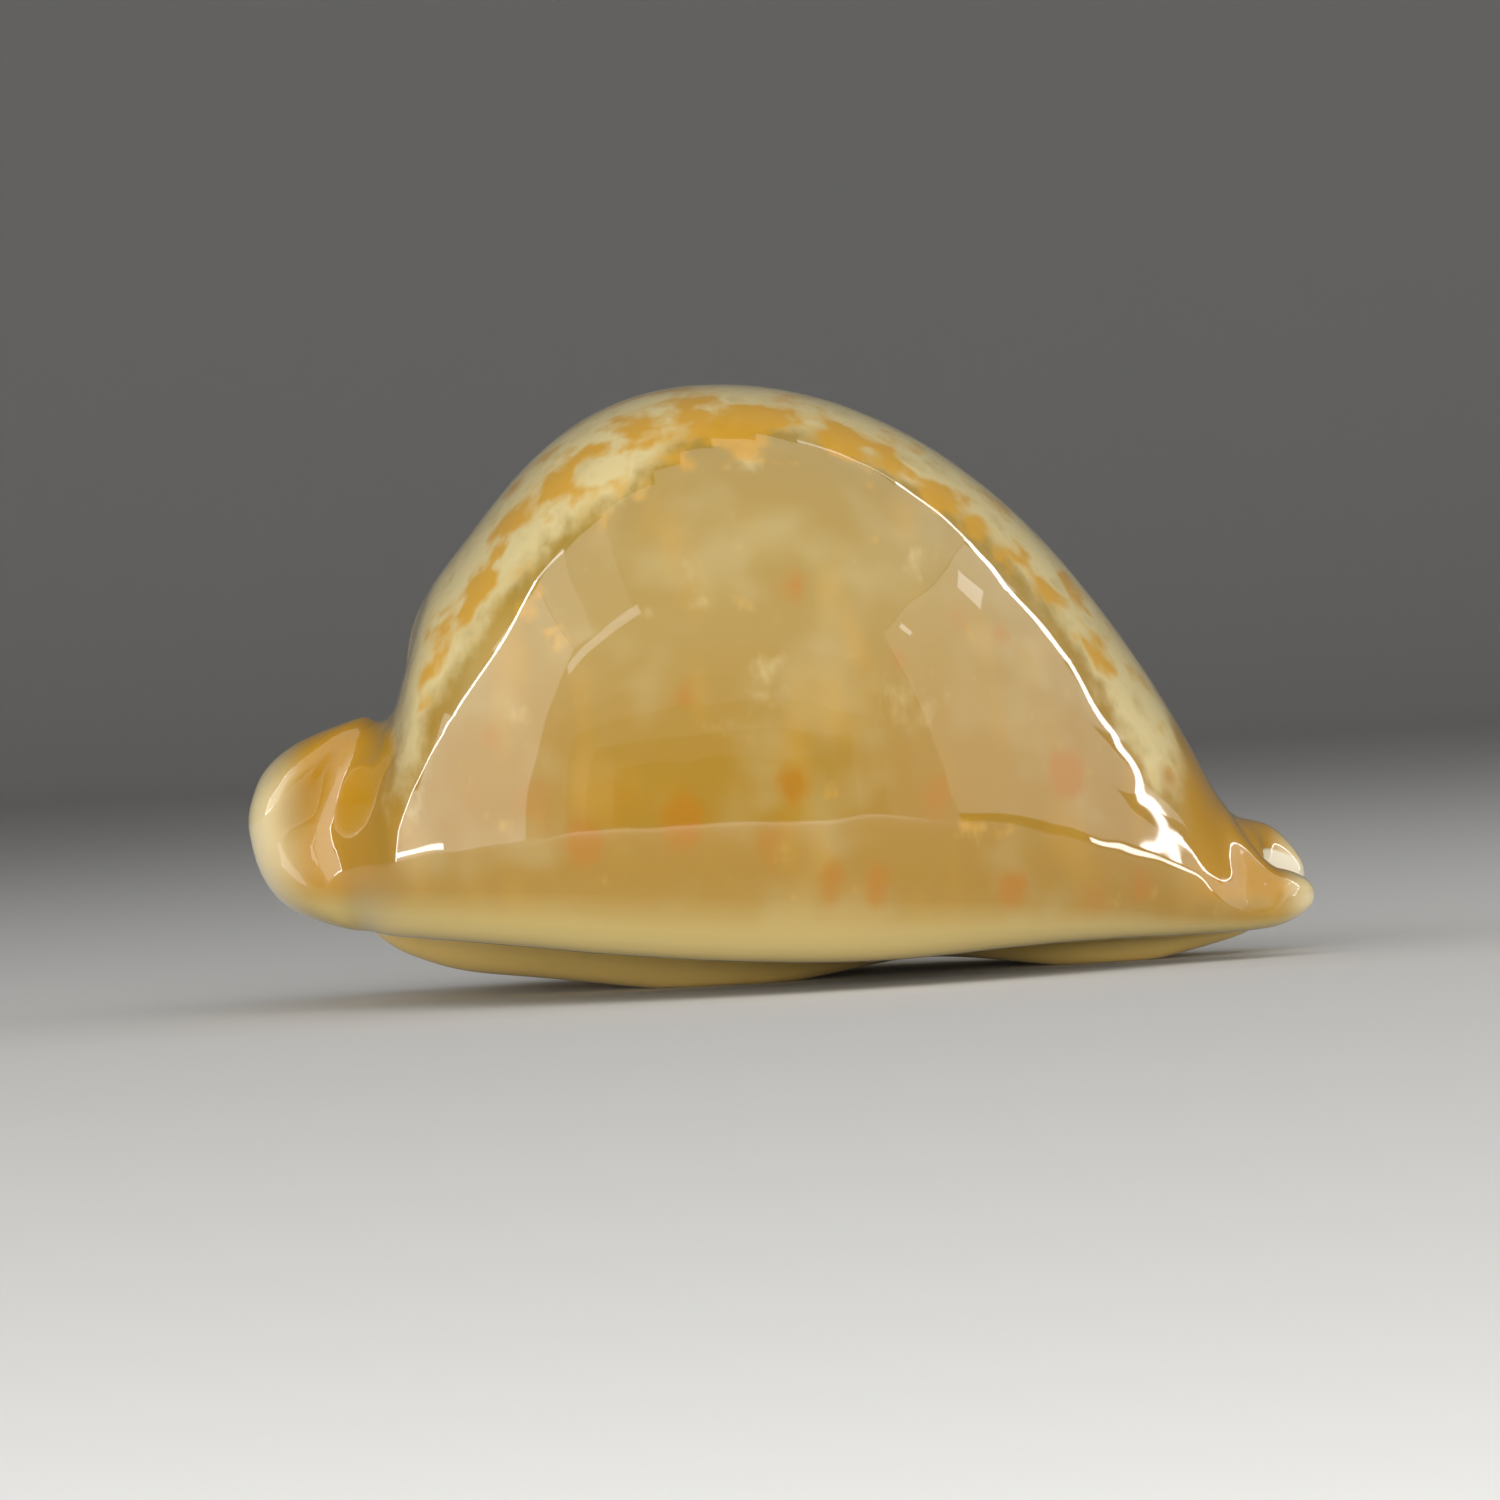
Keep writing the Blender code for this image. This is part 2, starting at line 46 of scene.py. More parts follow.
# Every curve below is a list of (x, value) points along the shell, joined by a natural spline.
DORSUM_HEIGHT = [
    (-46, 22.4), (-44.2, 23.2), (-42.5, 23.4), (-38.8, 23.9), (-35.8, 23.4), (-34.4, 23.8),
    (-32.9, 26.6), (-31.4, 32.0), (-29.0, 36.7), (-25.0, 42.0), (-20.5, 46.9), (-14.0, 50.9),
    (-6.0, 52.4), (3.4, 51.2), (11.0, 48.1), (19.0, 42.5), (26.0, 35.3), (31.5, 27.8),
    (36.0, 20.4), (39.0, 15.5), (41.2, 14.9), (43.6, 15.0), (46, 13.8),
]
LABRAL_WIDTH = [
    (-46, 11.0), (-43.5, 12.4), (-40.5, 12.6), (-38.4, 13.0), (-36.2, 15.2), (-33.5, 18.8),
    (-30, 22.2), (-25, 25.4), (-18, 28.2), (-10, 29.7), (-2, 30.0), (6, 29.2), (14, 26.9),
    (22, 23.0), (29, 18.0), (34, 13.8), (37.5, 11.2), (40.0, 10.2), (42.5, 9.8), (46, 8.2),
]
LABRAL_HEIGHT = [
    (-46, 13.8), (-40, 13.4), (-34, 13.4), (-24, 14.0), (0, 14.5), (16, 13.0), (28, 10.4),
    (38, 7.9), (46, 7.4),
]
LABRAL_RIM_INSET = [
    (-46, 4.4), (-38, 4.6), (-28, 4.6), (0, 4.8), (24, 4.4), (36, 3.6), (46, 2.8),
]
LABRAL_RIM_HEIGHT = [
    (-46, 5.3), (-38.8, 5.0), (-26, 4.5), (-12, 3.5), (2, 3.0), (10, 3.2), (19, 4.0),
    (30, 4.6), (38, 4.8), (42.5, 5.3), (46, 6.2),
]
COLUMELLAR_WIDTH = [
    (-46, 10.0), (-43.5, 11.8), (-40.5, 12.8), (-38.4, 13.8), (-36.2, 16.0), (-33.5, 19.4),
    (-30, 22.6), (-25, 25.6), (-18, 28.0), (-10, 29.3), (-2, 29.4), (6, 28.6), (14, 26.2),
    (22, 22.2), (29, 17.4), (34, 13.6), (37.5, 11.4), (40.0, 10.6), (42.5, 10.2), (46, 8.6),
]
COLUMELLAR_HEIGHT = [
    (-46, 13.4), (-38, 13.6), (-28, 15.6), (-10, 17.5), (6, 17.0), (20, 14.4), (32, 11.0),
    (40, 9.6), (46, 9.4),
]
COLUMELLAR_RIM_INSET = [
    (-46, 2.6), (-38, 4.4), (-28, 9.8), (-10, 15.0), (6, 14.6), (22, 9.6), (34, 5.0), (46, 3.2),
]
BASE_HEIGHT = [
    (-46, 5.3), (-39.5, 4.4), (-34.6, 3.2), (-29.3, 1.5), (-22.4, 0.7), (-14.0, 0.0),
    (-6.5, -0.4), (0, 0.2), (5.5, 1.3), (11.0, 2.35), (16.0, 2.45), (21.0, 2.0), (27.0, 1.55),
    (31.5, 1.9), (36.0, 3.0), (41.0, 4.5), (46, 6.3),
]
APERTURE_CENTRE = [
    (-46, 3.4), (-40, 2.4), (-34, 0.2), (-26, -3.2), (-14, -6.2), (0, -7.4), (12, -6.8),
    (24, -4.6), (34, -2.2), (41, -0.9), (46, -0.6),
]
APERTURE_HALF_WIDTH = [
    (-46, 1.75), (-40, 1.55), (-32, 1.25), (-12, 1.2), (10, 1.35), (24, 1.5), (34, 1.6),
    (40, 1.7), (46, 2.0),
]
HOLLOW_ROOF = [
    (-46, 14.4), (-40, 13.4), (-36, 12.8), (-32.5, 13.8), (-29, 18.0), (-25, 28.5),
    (-20, 39.5), (-13, 46.8), (-5, 49.4), (4, 48.2), (12, 44.4), (20, 38.0), (27, 29.6),
    (32, 21.4), (36, 14.0), (39, 10.4), (42, 9.2), (46, 9.0),
]
LABRAL_WALL = [
    (-46, 15.0), (-42, 15.0), (-38, 15.0), (-34, 14.0), (-30, 10.4), (-25, 7.0), (-16, 4.6),
    (0, 3.8), (14, 4.4), (24, 5.4), (31, 6.4), (36, 6.8), (40, 6.2), (46, 5.0),
]
COLUMELLAR_WALL = [
    (-46, 10.0), (-42, 10.0), (-38, 11.0), (-34, 13.0), (-30, 12.4), (-25, 10.6), (-16, 9.0),
    (0, 8.4), (14, 8.0), (24, 7.4), (31, 7.2), (36, 7.0), (40, 6.6), (46, 5.6),
]
LIP_DEPTH = [
    (-46, 4.4), (-40, 4.6), (-34, 5.0), (-26, 5.4), (20, 5.2), (32, 4.0), (38, 2.6), (46, 1.8),
]
COLUMELLAR_LIP_RADIUS = [
    (-46, 0.9), (-40, 1.3), (-34, 2.3), (-27, 3.6), (-10, 4.0), (18, 4.0), (30, 2.9), (38, 1.6),
    (46, 1.0),
]
# How square the section is: 2 is an ellipse
FULLNESS = [
    (-46, 2.7), (-38, 2.6), (-32, 2.25), (-22, 2.15), (24, 2.15), (34, 2.25), (41, 2.6), (46, 2.6),
]

# Where the sheet ends at each tip, as (share of the way round, x), from lip to lip
POSTERIOR_RIM = [
    (0.0, -44.0), (0.08, -45.2), (0.15, -46.0), (0.26, -46.0), (0.36, -45.8), (0.42, -44.8),
    (0.46, -42.8), (0.50, -41.6), (0.55, -42.2), (0.61, -43.8), (0.70, -44.8), (0.80, -44.8),
    (0.90, -44.2), (1.0, -43.2),
]
ANTERIOR_RIM = [
    (0.0, 43.2), (0.06, 45.0), (0.12, 46.0), (0.22, 46.0), (0.32, 45.4), (0.40, 44.2),
    (0.46, 42.6), (0.50, 42.2), (0.56, 43.2), (0.62, 44.9), (0.70, 46.0), (0.80, 46.0),
    (0.88, 45.2), (0.95, 43.8), (1.0, 42.8),
]

# Teeth: how many, from where to where, how deep the grooves are between them, and where on the
# lip they start. Those of the outer lip reach onto the base, by a share of the way round.
LABRAL_TEETH = {"count": 24, "span": (-37.5, 40.5), "groove": 1.1, "start": 0.0}
COLUMELLAR_TEETH = {"count": 19, "span": (-30, 38), "groove": 1.0, "start": 0.4}
BASE_GROOVE, BASE_REACH = 0.8, 0.045

# The ring round the shell is four arcs: base, side, side, base. Each takes this share of the rows.
ARC_ENDS = (0.0, 0.15, 0.48, 0.80, 1.0)
# The share of a base arc that lies on the flat of the base, before it turns up to the margin
BASE_SHARE = 0.62
LABRAL_RIM_FULLNESS = 2.6
COLUMELLAR_RIM_FULLNESS = 2.15
COLUMELLAR_RIM_RISE = 0.3
RIDGE_Y = 0.6

# The lips: a rounded edge, then a wall that leans outward a little. The inner lip is broadly
# rounded and lowest. The outer lip, whose radius is a share of its depth, stands above its rim.
LABRAL_LIP_ROUNDING = 0.32
LABRAL_LIP_RISE = 0.2
LIP_LEAN = 0.2
LIP_TURN = 0.6

# Inside the hollow, as shares of its height or of the wall's way to the lip
HOLLOW_SIDE_HEIGHTS = (0.30, 0.34)
HOLLOW_FLOOR_ENDS = (0.30, 0.45)
HOLLOW_FLOOR_RISE = 0.1

# How far from a tip's rim the wall starts to round over
POSTERIOR_ROUNDING = 5.4
ANTERIOR_ROUNDING = 3.6

# Swellings and hollows: the middle and the reach of each, as (x, y, z)
UMBILICUS_MIDDLE, UMBILICUS_REACH = (-34.8, 2.4, 23.4), (3.3, 3.3, 4.2)
UMBILICUS_PUSH = (4.34, -5.46)
SHOULDER_MIDDLE, SHOULDER_REACH = (-30.5, 8.5, 30.0), (4.0, 7.0, 6.5)
SHOULDER_RISE = 1.1
LOBE_MIDDLE_HEIGHT = 14.3
LOBE_HALF_HEIGHT = 10.2


def natural_spline(points):
    """A function that joins the points with cubic pieces of continuous curvature."""
    x, y = np.array(points, float).T
    step = np.diff(x)
    slope = np.diff(y) / step
    count = len(x)
    system = np.eye(count)
    right = np.zeros(count)
    for i in range(1, count - 1):
        system[i, i - 1 : i + 2] = step[i - 1], 2 * (step[i - 1] + step[i]), step[i]
        right[i] = 6 * (slope[i] - slope[i - 1])
    bend = np.linalg.solve(system, right)

    def value(at):
        at = np.clip(at, x[0], x[-1])
        i = np.clip(np.searchsorted(x, at) - 1, 0, count - 2)
        after = at - x[i]
        before = x[i + 1] - at
        curve = (bend[i] * before**3 + bend[i + 1] * after**3) / (6 * step[i])
        low = (y[i] / step[i] - bend[i] * step[i] / 6) * before
        high = (y[i + 1] / step[i] - bend[i + 1] * step[i] / 6) * after
        return curve + low + high

    return value


dorsum_height = natural_spline(DORSUM_HEIGHT)
labral_width = natural_spline(LABRAL_WIDTH)
labral_height = natural_spline(LABRAL_HEIGHT)
labral_rim_inset = natural_spline(LABRAL_RIM_INSET)
labral_rim_height = natural_spline(LABRAL_RIM_HEIGHT)
columellar_width = natural_spline(COLUMELLAR_WIDTH)
columellar_height = natural_spline(COLUMELLAR_HEIGHT)
columellar_rim_inset = natural_spline(COLUMELLAR_RIM_INSET)
base_height = natural_spline(BASE_HEIGHT)
aperture_centre = natural_spline(APERTURE_CENTRE)
aperture_half_width = natural_spline(APERTURE_HALF_WIDTH)
lip_depth = natural_spline(LIP_DEPTH)
columellar_lip_radius = natural_spline(COLUMELLAR_LIP_RADIUS)
hollow_roof = natural_spline(HOLLOW_ROOF)
labral_wall = natural_spline(LABRAL_WALL)
columellar_wall = natural_spline(COLUMELLAR_WALL)
section_fullness = natural_spline(FULLNESS)
posterior_rim = natural_spline(POSTERIOR_RIM)
anterior_rim = natural_spline(ANTERIOR_RIM)


def ease(share):
    """0 to 1 with level ends."""
    share = np.clip(share, 0, 1)
    return share * share * (3 - 2 * share)


def bell(distance):
    """A smooth bump: 1 at no distance, fading to 0 beyond about 2."""
    return np.exp(-(distance**2))


def bump(x, y, z, middle, reach):
    """A bell in space, with its own reach along each axis."""
    away = ((x - middle[0]) / reach[0]) ** 2 + ((y - middle[1]) / reach[1]) ** 2
    return bell(np.sqrt(away + ((z - middle[2]) / reach[2]) ** 2))


def pressed(height, floor, amount):
    """Lowers what stands above a floor by a share of its rise, which never folds it over."""
    rise = np.maximum(height - floor, 0)
    return height - amount * rise**2 / (rise + 3)


def quarter(share, fullness):
    """A quarter of a superellipse: how far across and how far up, each 0 to 1."""
    angle = share * math.pi / 2
    across = np.clip(np.cos(angle), 0, 1) ** (2 / fullness)
    up = np.clip(np.sin(angle), 0, 1) ** (2 / fullness)
    return across, up


def base_arc(share, ridge, rim, margin, fullness):
    """From a lip's ridge (share 0) along the base to the rim, then up to the margin (share 1)."""
    along = np.clip(share / BASE_SHARE, 0, 1)
    turn = np.clip((share - BASE_SHARE) / (1 - BASE_SHARE), 0, 1)
    left, out = quarter(turn, fullness)
    y = ridge[0] + (rim[0] - ridge[0]) * along + (margin[0] - rim[0]) * out
    z = ridge[1] + (rim[1] - ridge[1]) * ease(along) + (margin[1] - rim[1]) * (1 - left)
    return y, z


def side_arc(share, margin, top, fullness):
    """From the margin (share 0) up the side to the top (share 1)."""
    across, up = quarter(share, fullness)
    return top[0] + (margin[0] - top[0]) * across, margin[1] + (top[1] - margin[1]) * up


def lip_height(x, side):
    """The height of a lip's ridge. side is -1 for the outer lip and 1 for the inner lip."""
    return base_height(x) if side > 0 else labral_rim_height(x) + LABRAL_LIP_RISE


def lip_rounding(x, side):
    """The radius of a lip's rounded edge."""
    return columellar_lip_radius(x) if side > 0 else LABRAL_LIP_ROUNDING * lip_depth(x)


def ring(share, ridges, rims, margins, top, fullness):
    """The section's (y, z) at each share of the way round, from the outer lip to the inner lip."""
    part = [(share - start) / (end - start) for start, end in zip(ARC_ENDS, ARC_ENDS[1:])]
    arcs = (
        base_arc(part[0], ridges[0], rims[0], margins[0], LABRAL_RIM_FULLNESS),
        side_arc(part[1], margins[0], top, fullness),
        side_arc(1 - part[2], margins[1], top, fullness),
        base_arc(1 - part[3], ridges[1], rims[1], margins[1], COLUMELLAR_RIM_FULLNESS),
    )
    y, z = arcs[0]
    for start, (arc_y, arc_z) in zip(ARC_ENDS[1:], arcs[1:]):
        y = np.where(share >= start, arc_y, y)
        z = np.where(share >= start, arc_z, z)
    return y, z


def outer_section(x, share):
    """The outside of the shell: (y, z) at length x and share of the way round."""
    ridges = [
        (aperture_centre(x) + side * (aperture_half_width(x) + lip_rounding(x, side)),
         lip_height(x, side))
        for side in (-1, 1)
    ]
    rims = (
        (labral_rim_inset(x) - labral_width(x), labral_rim_height(x)),
        (columellar_width(x) - columellar_rim_inset(x), base_height(x) + COLUMELLAR_RIM_RISE),
    )
    margins = ((-labral_width(x), labral_height(x)), (columellar_width(x), columellar_height(x)))
    return ring(share, ridges, rims, margins, (RIDGE_Y, dorsum_height(x)), section_fullness(x))


def inner_section(x, share):
    """The wall of the hollow and of the canals, matching outer_section row for row."""
    floors = [lip_height(x, side) + lip_depth(x) for side in (-1, 1)]
    to_lip = aperture_half_width(x) + LIP_LEAN
    lips = (aperture_centre(x) - to_lip, aperture_centre(x) + to_lip)
    walls = (
        np.minimum(labral_wall(x) - labral_width(x), lips[0] - LIP_LEAN),
        np.maximum(columellar_width(x) - columellar_wall(x), lips[1] + LIP_LEAN),
    )
    ridges = list(zip(lips, floors))
    rims = [
        (wall + (edge - wall) * share_in, floor + HOLLOW_FLOOR_RISE)
        for wall, edge, share_in, floor in zip(walls, lips, HOLLOW_FLOOR_ENDS, floors)
    ]
    margins = [
        (wall, floor + (hollow_roof(x) - floor) * up)
        for wall, up, floor in zip(walls, HOLLOW_SIDE_HEIGHTS, floors)
    ]
    top = (np.clip(RIDGE_Y, walls[0] + LIP_LEAN, walls[1] - LIP_LEAN), hollow_roof(x))
    return ring(share, ridges, rims, margins, top, section_fullness(x))


def umbilicus(x, y, z):
    """The sunken spire: a pit pressed forward and down where the back meets the lobes."""
    pit = bump(x, y, z, UMBILICUS_MIDDLE, UMBILICUS_REACH)
    return x + UMBILICUS_PUSH[0] * pit, y, z + UMBILICUS_PUSH[1] * pit


def spire_shoulder(x, y, z):
    """The low swelling over the sunken spire, on the inner lip's side."""
    return x - SHOULDER_RISE * bump(x, y, z, SHOULDER_MIDDLE, SHOULDER_REACH), y, z


def posterior_lobes(x, y, z):
    """The groove over the posterior canal, and the trough between each lobe and the body."""
    groove = bell((y - 2.4) / 4.0) * ease((-35 - x) / 5)
    z = pressed(z, 14, 0.42 * groove)
    fall = np.clip((22.7 - z) / 9, 0, 1.5)
    fade = ease((z - 6.5) / 8.5) * ease((27.5 - z) / 8)
    trough = bell((x + 36.2 + 4.4 * fall) / 4.0) * fade
    dish = bell(np.hypot((x + 41.6) / 2.6, (z - 14.0) / 4.6))
    return x, y * (1 - 0.19 * trough - 0.04 * dish), z


def posterior_corners(x, y, z):
    """Draws the lobes' upper and lower corners in, so that each lobe is round from the side."""
    off_middle = np.clip((z - LOBE_MIDDLE_HEIGHT) / LOBE_HALF_HEIGHT, -0.93, 0.93)
    drawn_in = 8.4 * (1 - np.sqrt(1 - off_middle**2))
    return x + drawn_in * ease((-32 - x) / 12), y, z


def anterior_lobes(x, y, z):
    """The groove over the anterior canal, the lower lobe of the outer lip, and the neck."""
    toward_tip = ease((x - 38.6) / 4.6)
    groove = bell((y + 0.6) / 2.7) * toward_tip
    outer_lobe = ease((1.5 - y) / 4.5) * toward_tip
    z = pressed(z, 7.2, np.clip(0.52 * groove + 0.74 * outer_lobe, 0, 0.8))
    neck_x = 38.8 + 2.4 * np.clip((14 - z) / 7, 0, 1)
    neck = bell((x - neck_x) / 2.1) * ease((z - 6) / 4)
    return x, y * (1 - 0.15 * neck), z


def tooth_groove(x, teeth):
    """0 on the crest of each tooth, 1 in the grooves between them, and 0 past the last ones."""
    first, last = teeth["span"]
    place = (x - first) / (last - first) * teeth["count"]
    crest = 0.5 - 0.5 * np.cos(2 * math.pi * place)
    inside = ease((x - first + 1) / 2) * ease((last + 1 - x) / 2)
    return (1 - crest**0.8) * inside


def lip(x, share, side):
    """The rounded lip from its ridge (share 0) to its inner edge (share 1). side is -1 or 1."""
    angle = np.clip(share / LIP_TURN, 0, 1) * math.pi / 2
    rise = np.clip((share - LIP_TURN) / (1 - LIP_TURN), 0, 1)
    radius = lip_rounding(x, side)
    out = aperture_half_width(x) + radius * (1 - np.sin(angle)) + LIP_LEAN * rise**2
    up = radius * (1 - np.cos(angle)) + (lip_depth(x) - radius) * rise
    return aperture_centre(x) + side * out, lip_height(x, side) + up


def stations(fineness):
    """Lengths along the shell, from tip to tip, closer together at the ends and on the steep back."""
    lengths = (-46, -42.8, -38, -29, 36, 43.2, 46)
    counts = (6, 5, 11, 66, 8, 6)
    found = []
    for i, count in enumerate(counts):
        count = max(2, round(count * fineness))
        share = np.arange(count) / count
        if i == 0:
            share = 1 - np.cos(share * math.pi / 2)
        elif i == len(counts) - 1:
            share = np.sin(share * math.pi / 2)
        found.extend(lengths[i] + (lengths[i + 1] - lengths[i]) * share)
    return np.array(found + [HALF_LENGTH])


def place_lengths(x, share):
    """Moves each row's stations so that the row ends on the rims of the canals."""
    back, front = -28.0, 34.0
    tail = back + (x - back) * (posterior_rim(share) - back) / (-HALF_LENGTH - back)
    nose = front + (x - front) * (anterior_rim(share) - front) / (HALF_LENGTH - front)
    return np.where(x < back, tail, np.where(x > front, nose, x))


def rounding(x, share):
    """0 on the open wall, and 0.5 on the rim itself, where outside and inside meet."""
    behind = (x - posterior_rim(share)) / POSTERIOR_ROUNDING
    ahead = (anterior_rim(share) - x) / ANTERIOR_ROUNDING
    near = np.clip(np.minimum(behind, ahead), 0, 1)
    return 0.5 * (1 - np.sqrt(1 - (1 - near) ** 2))


def lip_strip(x, middle, blend, side, teeth):
    """The rows between outside and inside along one lip, with the grooves between its teeth."""
    part = np.linspace(0, 1, LIP_ROWS + 2)[1:-1]
    lip_x = np.repeat(x[:, None], LIP_ROWS, axis=1)
    y, z = lip(lip_x, part, side)
    groove = teeth["groove"] * tooth_groove(lip_x, teeth) * (1 - 0.6 * part)
    y = y + side * groove * np.clip((part - teeth["start"]) * 2, 0, 1)
    if side < 0:
        z = z + groove * (1 - np.clip(part * 1.4, 0, 1))
    strip = np.stack([lip_x, y, z], -1)
    return strip + (middle[:, None] - strip) * (2 * blend)[:, None, None]


def shell_points():
    """The rings of points, from tip to tip: outside, inner lip, inside, outer lip."""
    length = stations(FINENESS)
    share = np.broadcast_to(np.linspace(0, 1, ROWS), (len(length), ROWS))
    x = place_lengths(length[:, None], share)
    blend = rounding(x, share)

    outer = (x, *outer_section(x, share))
    for brush in (posterior_lobes, umbilicus, spire_shoulder, anterior_lobes):
        outer = brush(*outer)
    outer = np.stack(outer, -1)
    near_lip = 1 - ease(share / BASE_REACH)
    outer[..., 2] += BASE_GROOVE * tooth_groove(x, LABRAL_TEETH) * near_lip
    inner = np.stack((x, *inner_section(x, share)), -1)

    across = (inner - outer) * blend[..., None]
    outside, inside = outer + across, inner - across
    middle = (outer + inner) / 2
    columella = lip_strip(x[:, -1], middle[:, -1], blend[:, -1], 1, COLUMELLAR_TEETH)
    labrum = lip_strip(x[:, 0], middle[:, 0], blend[:, 0], -1, LABRAL_TEETH)
    rings = np.concatenate([outside, columella, inside[:, ::-1], labrum[:, ::-1]], axis=1)
    return np.stack(posterior_corners(*np.moveaxis(rings, -1, 0)), -1)


def rest(points):
    """Tips the shell onto its two swellings, wears them flat and centres it over the origin."""
    x, y, z = np.moveaxis(points, -1, 0)
    sine, cosine = math.sin(REST_PITCH), math.cos(REST_PITCH)
    height = z * cosine - x * sine
    height = np.maximum(height - height.min() - FOOT_WEAR, 0)
    turned = np.stack([x * cosine + z * sine, y, height], -1)
    corners = turned.reshape(-1, 3)
    middle = (corners.max(0) + corners.min(0)) / 2
    middle[2] = 0
    return turned - middle


def skin(name, points):
    """One closed mesh over the rings; outside and inside share their points on both rims."""
    length, around = points.shape[:2]
    index = np.arange(length * around).reshape(length, around)
    inside = slice(ROWS + LIP_ROWS, 2 * ROWS + LIP_ROWS)
    for end in (0, length - 1):
        index[end, inside] = index[end, :ROWS][::-1]
        index[end, ROWS : inside.start] = index[end, ROWS - 1]
        index[end, inside.stop :] = index[end, 0]
    faces = []
    for i in range(length - 1):
        for j in range(around):
            k = (j + 1) % around
            corners = (index[i, j], index[i + 1, j], index[i + 1, k], index[i, k])
            face = list(dict.fromkeys(int(c) for c in corners))
            if len(face) > 2:
                faces.append(face)
    used = sorted({corner for face in faces for corner in face})
    renumber = {old: new for new, old in enumerate(used)}
    places = points.reshape(-1, 3)[used] * MM
    mesh = bpy.data.meshes.new(name)
    mesh.from_pydata(places.tolist(), [], [[renumber[c] for c in face] for face in faces])
    return mesh, np.array(used)


# The surface isn't perfectly even: (depth, wavelength) of each kind of wave, and the heights
# between which the waves fade in above the worn base
UNEVENNESS = [(0.035, 9.0), (0.016, 3.2), (0.006, 2.0)]
CALM_HEIGHTS = (1.0, 3.0)


def rising(value, low, high):
    """0 at low and 1 at high, or the other way round if low is the greater."""
    return ease((value - low) / (high - low))


def fitted(points, low, high):
    """Brings the fine shell exactly into the box of the plain one, on the same floor."""
    corners = points.reshape(-1, 3)
    own_low, own_high = corners.min(0), corners.max(0)
    share = (points - own_low) / (own_high - own_low)
    return np.array(low) / MM + share * (np.array(high) - np.array(low)) / MM


def outward(points):
    """The direction out of the surface at each point of the grid."""
    along = np.gradient(points, axis=0)
    around = np.roll(points, -1, 1) - np.roll(points, 1, 1)
    normal = np.cross(along, around)
    return normal / np.maximum(np.linalg.norm(normal, axis=-1, keepdims=True), 1e-9)


def uneven(points):
    """Adds the shallow waves of growth and wear, which make the gloss waver."""
    wave = np.zeros(points.shape[:2])
    for depth, length in UNEVENNESS:
        flat = (points / length).reshape(-1, 3)
        wave += depth * np.array([noise.noise(p) for p in flat]).reshape(wave.shape)
    awake = rising(points[..., 2], *CALM_HEIGHTS)
    return points + outward(points) * (wave * awake)[..., None]


# Markings: (x, y, z, radius, strength), in the middle of each
SPOTS = [
    (-8.1, -29.6, 15.1, 1.7, 1.0), (-16.5, -28.3, 13.8, 1.6, 0.95), (-1.2, -29.7, 11.9, 1.2, 0.7),
    (1.2, -29.5, 17.5, 1.4, 0.65), (4.1, -29.1, 9.0, 1.3, 0.7), (7.8, -28.4, 8.7, 1.4, 0.7),
    (24.4, -20.6, 17.0, 1.7, 0.95), (13.3, -26.9, 15.9, 1.6, 0.6), (19.2, -24.1, 7.5, 1.6, 0.75),
    (26.4, -19.4, 5.9, 1.6, 0.5), (30.4, -16.4, 6.9, 1.4, 0.5), (-7.5, -28.6, 25.5, 1.0, 0.6),
    (2.2, -25.7, 34.1, 1.5, 0.5), (19.5, -20.3, 29.1, 1.3, 0.35), (-23.7, -24.6, 22.8, 1.2, 0.4),
    (33.3, -11.9, 16.2, 1.1, 0.5), (15.9, -22.1, 30.7, 1.2, 0.4), (10.6, -26.0, 27.4, 0.9, 0.4),
    (-20.5, -26.9, 17.4, 1.9, 0.4), (-25.6, -24.4, 18.0, 1.0, 0.3), (-13.0, -29.0, 16.6, 1.7, 0.3),
]
BLOTCHES = [
    (-1.3, -14.0, 48.1, 3.9, 1.0), (-4.7, -12.6, 49.0, 2.2, 0.8), (6.7, -13.7, 46.2, 2.2, 1.0),
    (11.3, -12.7, 44.4, 1.9, 0.8), (14.8, -15.1, 40.3, 1.9, 0.8), (18.1, -14.8, 37.6, 1.7, 0.9),
    (20.1, -14.9, 35.3, 1.6, 0.8), (23.8, -13.4, 32.0, 1.6, 0.8), (25.3, -8.4, 33.4, 1.0, 0.6),
    (27.9, -11.2, 27.7, 1.7, 0.7), (3.9, -5.2, 50.2, 1.7, 0.5), (-9.9, -13.0, 48.1, 1.9, 0.7),
    (-14.2, -13.6, 46.2, 1.9, 0.7), (-16.9, -15.0, 43.8, 1.7, 0.7), (-20.9, -13.9, 41.1, 1.6, 0.8),
    (-22.3, -15.4, 38.5, 1.2, 0.7), (-24.1, -16.9, 35.2, 1.7, 0.8), (-25.5, -17.7, 32.8, 1.6, 0.7),
    (-27.8, -16.8, 30.8, 1.6, 0.8), (-29.2, -16.8, 28.7, 1.0, 0.9), (-28.8, -19.4, 25.7, 1.2, 0.6),
    (-19.7, -21.7, 34.5, 2.6, 0.5), (-6.5, -17.5, 45.7, 2.2, 0.4), (-13.5, -21.1, 40.1, 2.2, 0.4),
    (8.4, -19.6, 40.6, 2.6, 0.4), (15.4, -22.5, 30.5, 1.9, 0.4),
]
